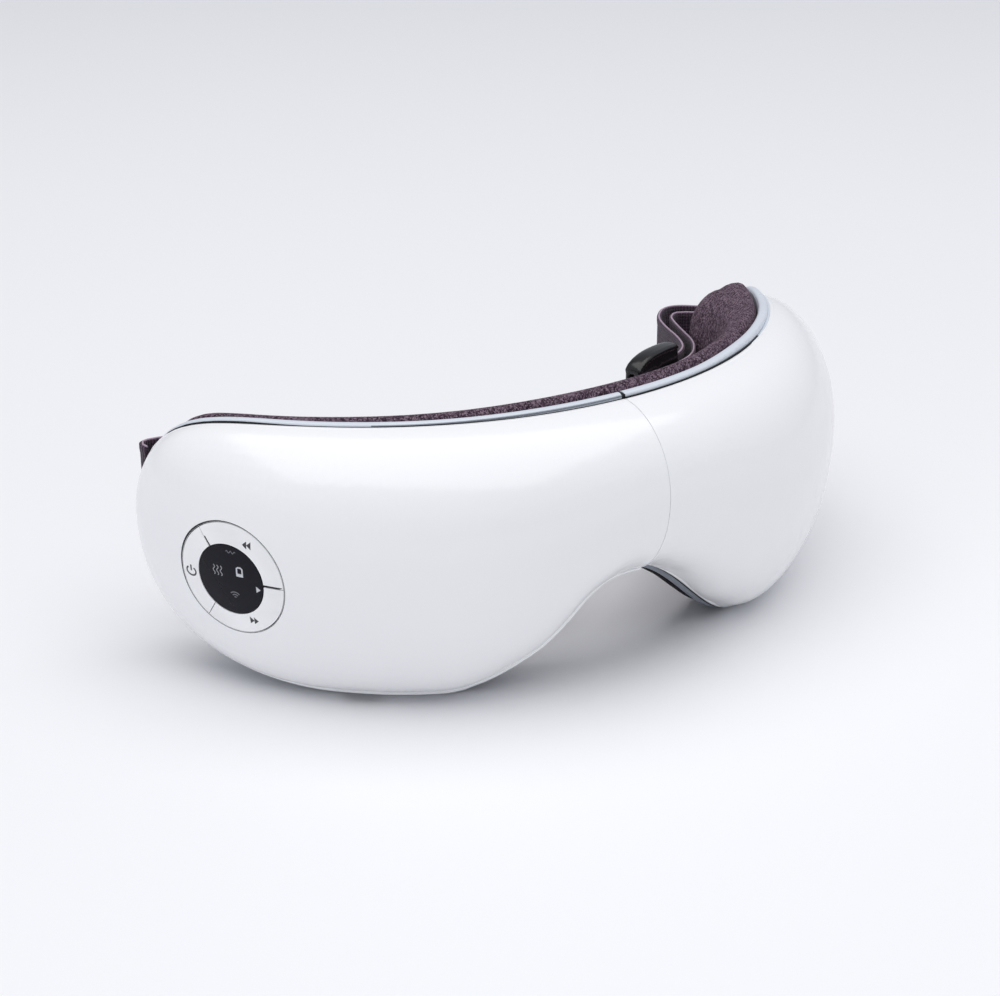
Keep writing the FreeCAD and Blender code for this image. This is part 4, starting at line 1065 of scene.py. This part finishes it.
def panel_icons():
    """Power, skip back and skip forward on the buttons; heat, battery and fan on the display."""
    x, y = around_panel(12.5, 183.5)
    power = inlay(
        "power_icon",
        [bow(x, y, 1.2, 125, 415, 0.46, stretch=1.3), stroke([(x, y + 1.75), (x, y + 0.1)], 0.46)],
        "power_button", DARK_INK,
    )
    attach(power, "power_button")
    x, y = around_panel(12.1, 62.2)
    back = inlay(
        "skip_back_icon", [wedge(x - 0.6, y, -1.2, 2.0), wedge(x + 0.6, y, -1.2, 2.0)],
        "back_button", DARK_INK,
    )
    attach(back, "back_button")
    x, y = around_panel(12.2, -61.9)
    forward = inlay(
        "skip_forward_icon", [wedge(x - 0.6, y, 1.2, 2.0), wedge(x + 0.6, y, 1.2, 2.0)],
        "forward_button", DARK_INK,
    )
    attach(forward, "forward_button")
    # Dark ring of painted shade in the gap round the panel, widest at the upper left where the shade falls;
    # then painted shade lines along the back button's edges
    gap = inlay("panel_gap_painted_shade", [crescent(15.5, 150, 0.45)], "left_shell", GAP_SHADE)
    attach(gap, "left_half")
    edges = [
        stroke([(9.6, 0.36), (11.2, 0.36), (15.0, 0.3)], 0.45),
        stroke([around_panel(9.6, 122.8), around_panel(11.0, 123.2), around_panel(12.6, 123.6)], 0.34),
    ]
    shade = inlay("back_button_edge_shade", edges, "back_button", GAP_SHADE)
    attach(shade, "back_button")
    waves = []
    for shift in (-1.1, 0.0, 1.1):
        spots = [(-3.5 + shift + 0.28 * math.sin(i * 0.9), 0.65 + i * 0.25) for i in range(12)]
        waves.append(stroke(spots, 0.24))
    heat = inlay("heat_icon", waves, "display_window", SOFT_INK)
    cell = [(2.4, 1.8), (2.4, 3.8), (2.8, 4.1), (3.6, 4.1), (4.0, 3.8), (4.0, 1.8)]
    battery = inlay(
        "battery_icon", [stroke(cell, 0.42), stroke([(2.2, 2.0), (4.2, 2.0)], 0.85)],
        "display_window", PALE_INK,
    )
    arcs = [bow(1.2, -5.0, radius, 45, 135, 0.34) for radius in (0.4, 1.1, 1.8)]
    fan = inlay("fan_icon", arcs, "display_window", DIM_INK)
    ripple = [(-0.5 + i * 0.2, 7.9 + 0.3 * math.sin(i * 1.1)) for i in range(15)]
    pulse = inlay("pulse_icon", [stroke(ripple, 0.26)], "display_window", DIM_INK)
    arrow = inlay("arrow_icon", [wedge(8.3, -1.1, 1.2, 1.7)], "display_window", PALE_INK)
    for icon in (heat, battery, fan, pulse, arrow):
        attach(icon, "left_half")


panel_icons()


# Shells

def drawn_shells():
    """Both shells, with the lower front drawn up in an S from the nose arch to the lobes."""
    for half in ("left", "right"):
        shell = bpy.data.objects.new(f"{half}_gloss_shell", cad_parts[f"{half}_shell"].data.copy())
        bpy.context.scene.collection.objects.link(shell)
        shell.data.name = shell.name
        only(shell)
        bpy.ops.object.mode_set(mode="EDIT")
        bpy.ops.mesh.select_all(action="SELECT")
        bpy.ops.mesh.remove_doubles(threshold=1e-6)
        bpy.ops.mesh.customdata_custom_splitnormals_clear()
        bpy.ops.object.mode_set(mode="OBJECT")
        for vertex in shell.data.vertices:
            vertex.co = drawn_up(vertex.co / MM) * MM
        smooth_by_angle(shell, 35)
        applied(shell, "WEIGHTED_NORMAL", keep_sharp=True)
        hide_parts(f"{half}_shell")
        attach(shell, f"{half}_half")


drawn_shells()


# Floor, light and camera

def make_floor():
    """Pale plain floor that takes the shadow."""
    deselect()
    bpy.ops.mesh.primitive_plane_add(size=12)
    floor = named("pale_floor")
    made = Finish("pale_paper_floor", (0.92, 0.928, 0.945), 0.6, Specular_IOR_Level=0.25)
    cloud = made.noise(made.place(), 1.5, 2)
    made.join(made.ramp(cloud, (0.3, (0.912, 0.913, 0.926)), (0.7, (0.925, 0.926, 0.938))), "Base Color")
    floor.data.materials.append(made.material)


def make_world():
    """Cool fill that is stronger from the two sides than from the front."""
    world = bpy.data.worlds.new("studio_fill")
    bpy.context.scene.world = world
    world.use_nodes = True
    nodes, links = world.node_tree.nodes, world.node_tree.links
    background = nodes["Background"]
    background.inputs["Color"].default_value = (0.87, 0.90, 1.0, 1)
    place = nodes.new("ShaderNodeTexCoord")
    parts = nodes.new("ShaderNodeSeparateXYZ")
    sideways = nodes.new("ShaderNodeMath")
    sideways.operation = "ABSOLUTE"
    strength = nodes.new("ShaderNodeMapRange")
    strength.inputs["To Min"].default_value = 0.2
    strength.inputs["To Max"].default_value = 0.66
    links.new(place.outputs["Generated"], parts.inputs["Vector"])
    links.new(parts.outputs["X"], sideways.inputs[0])
    links.new(sideways.outputs[0], strength.inputs["Value"])
    links.new(strength.outputs["Result"], background.inputs["Strength"])


def lamp(name, place, aim, size, power, colour):
    """Soft rectangular lamp that looks at a point."""
    deselect()
    bpy.ops.object.light_add(type="AREA", location=place)
    light = bpy.context.object
    light.name = name
    light.data.shape = "RECTANGLE"
    light.data.size, light.data.size_y = size
    light.data.energy = power
    light.data.color = colour
    light.rotation_euler = (Vector(place) - Vector(aim)).to_track_quat("Z", "Y").to_euler()


def make_camera():
    """Camera at the photograph's viewing angle."""
    data = bpy.data.cameras.new("camera")
    data.sensor_fit = "HORIZONTAL"
    data.sensor_width = 36
    data.lens = 85.25
    data.clip_start = 0.01
    camera = bpy.data.objects.new("camera", data)
    bpy.context.scene.collection.objects.link(camera)
    camera.location = (-0.34105, -0.48096, 0.28793)
    camera.rotation_euler = (math.radians(90 - 23.251), 0, math.radians(-34.207))
    bpy.context.scene.camera = camera


make_floor()
make_world()
lamp("overhead_softbox", (-0.15, -0.18, 1.55), (0, 0, 0.03), (2.4, 2.2), 27.5, (1.0, 0.995, 0.985))
make_camera()
bpy.context.scene.view_settings.view_transform = "Standard"
deselect()
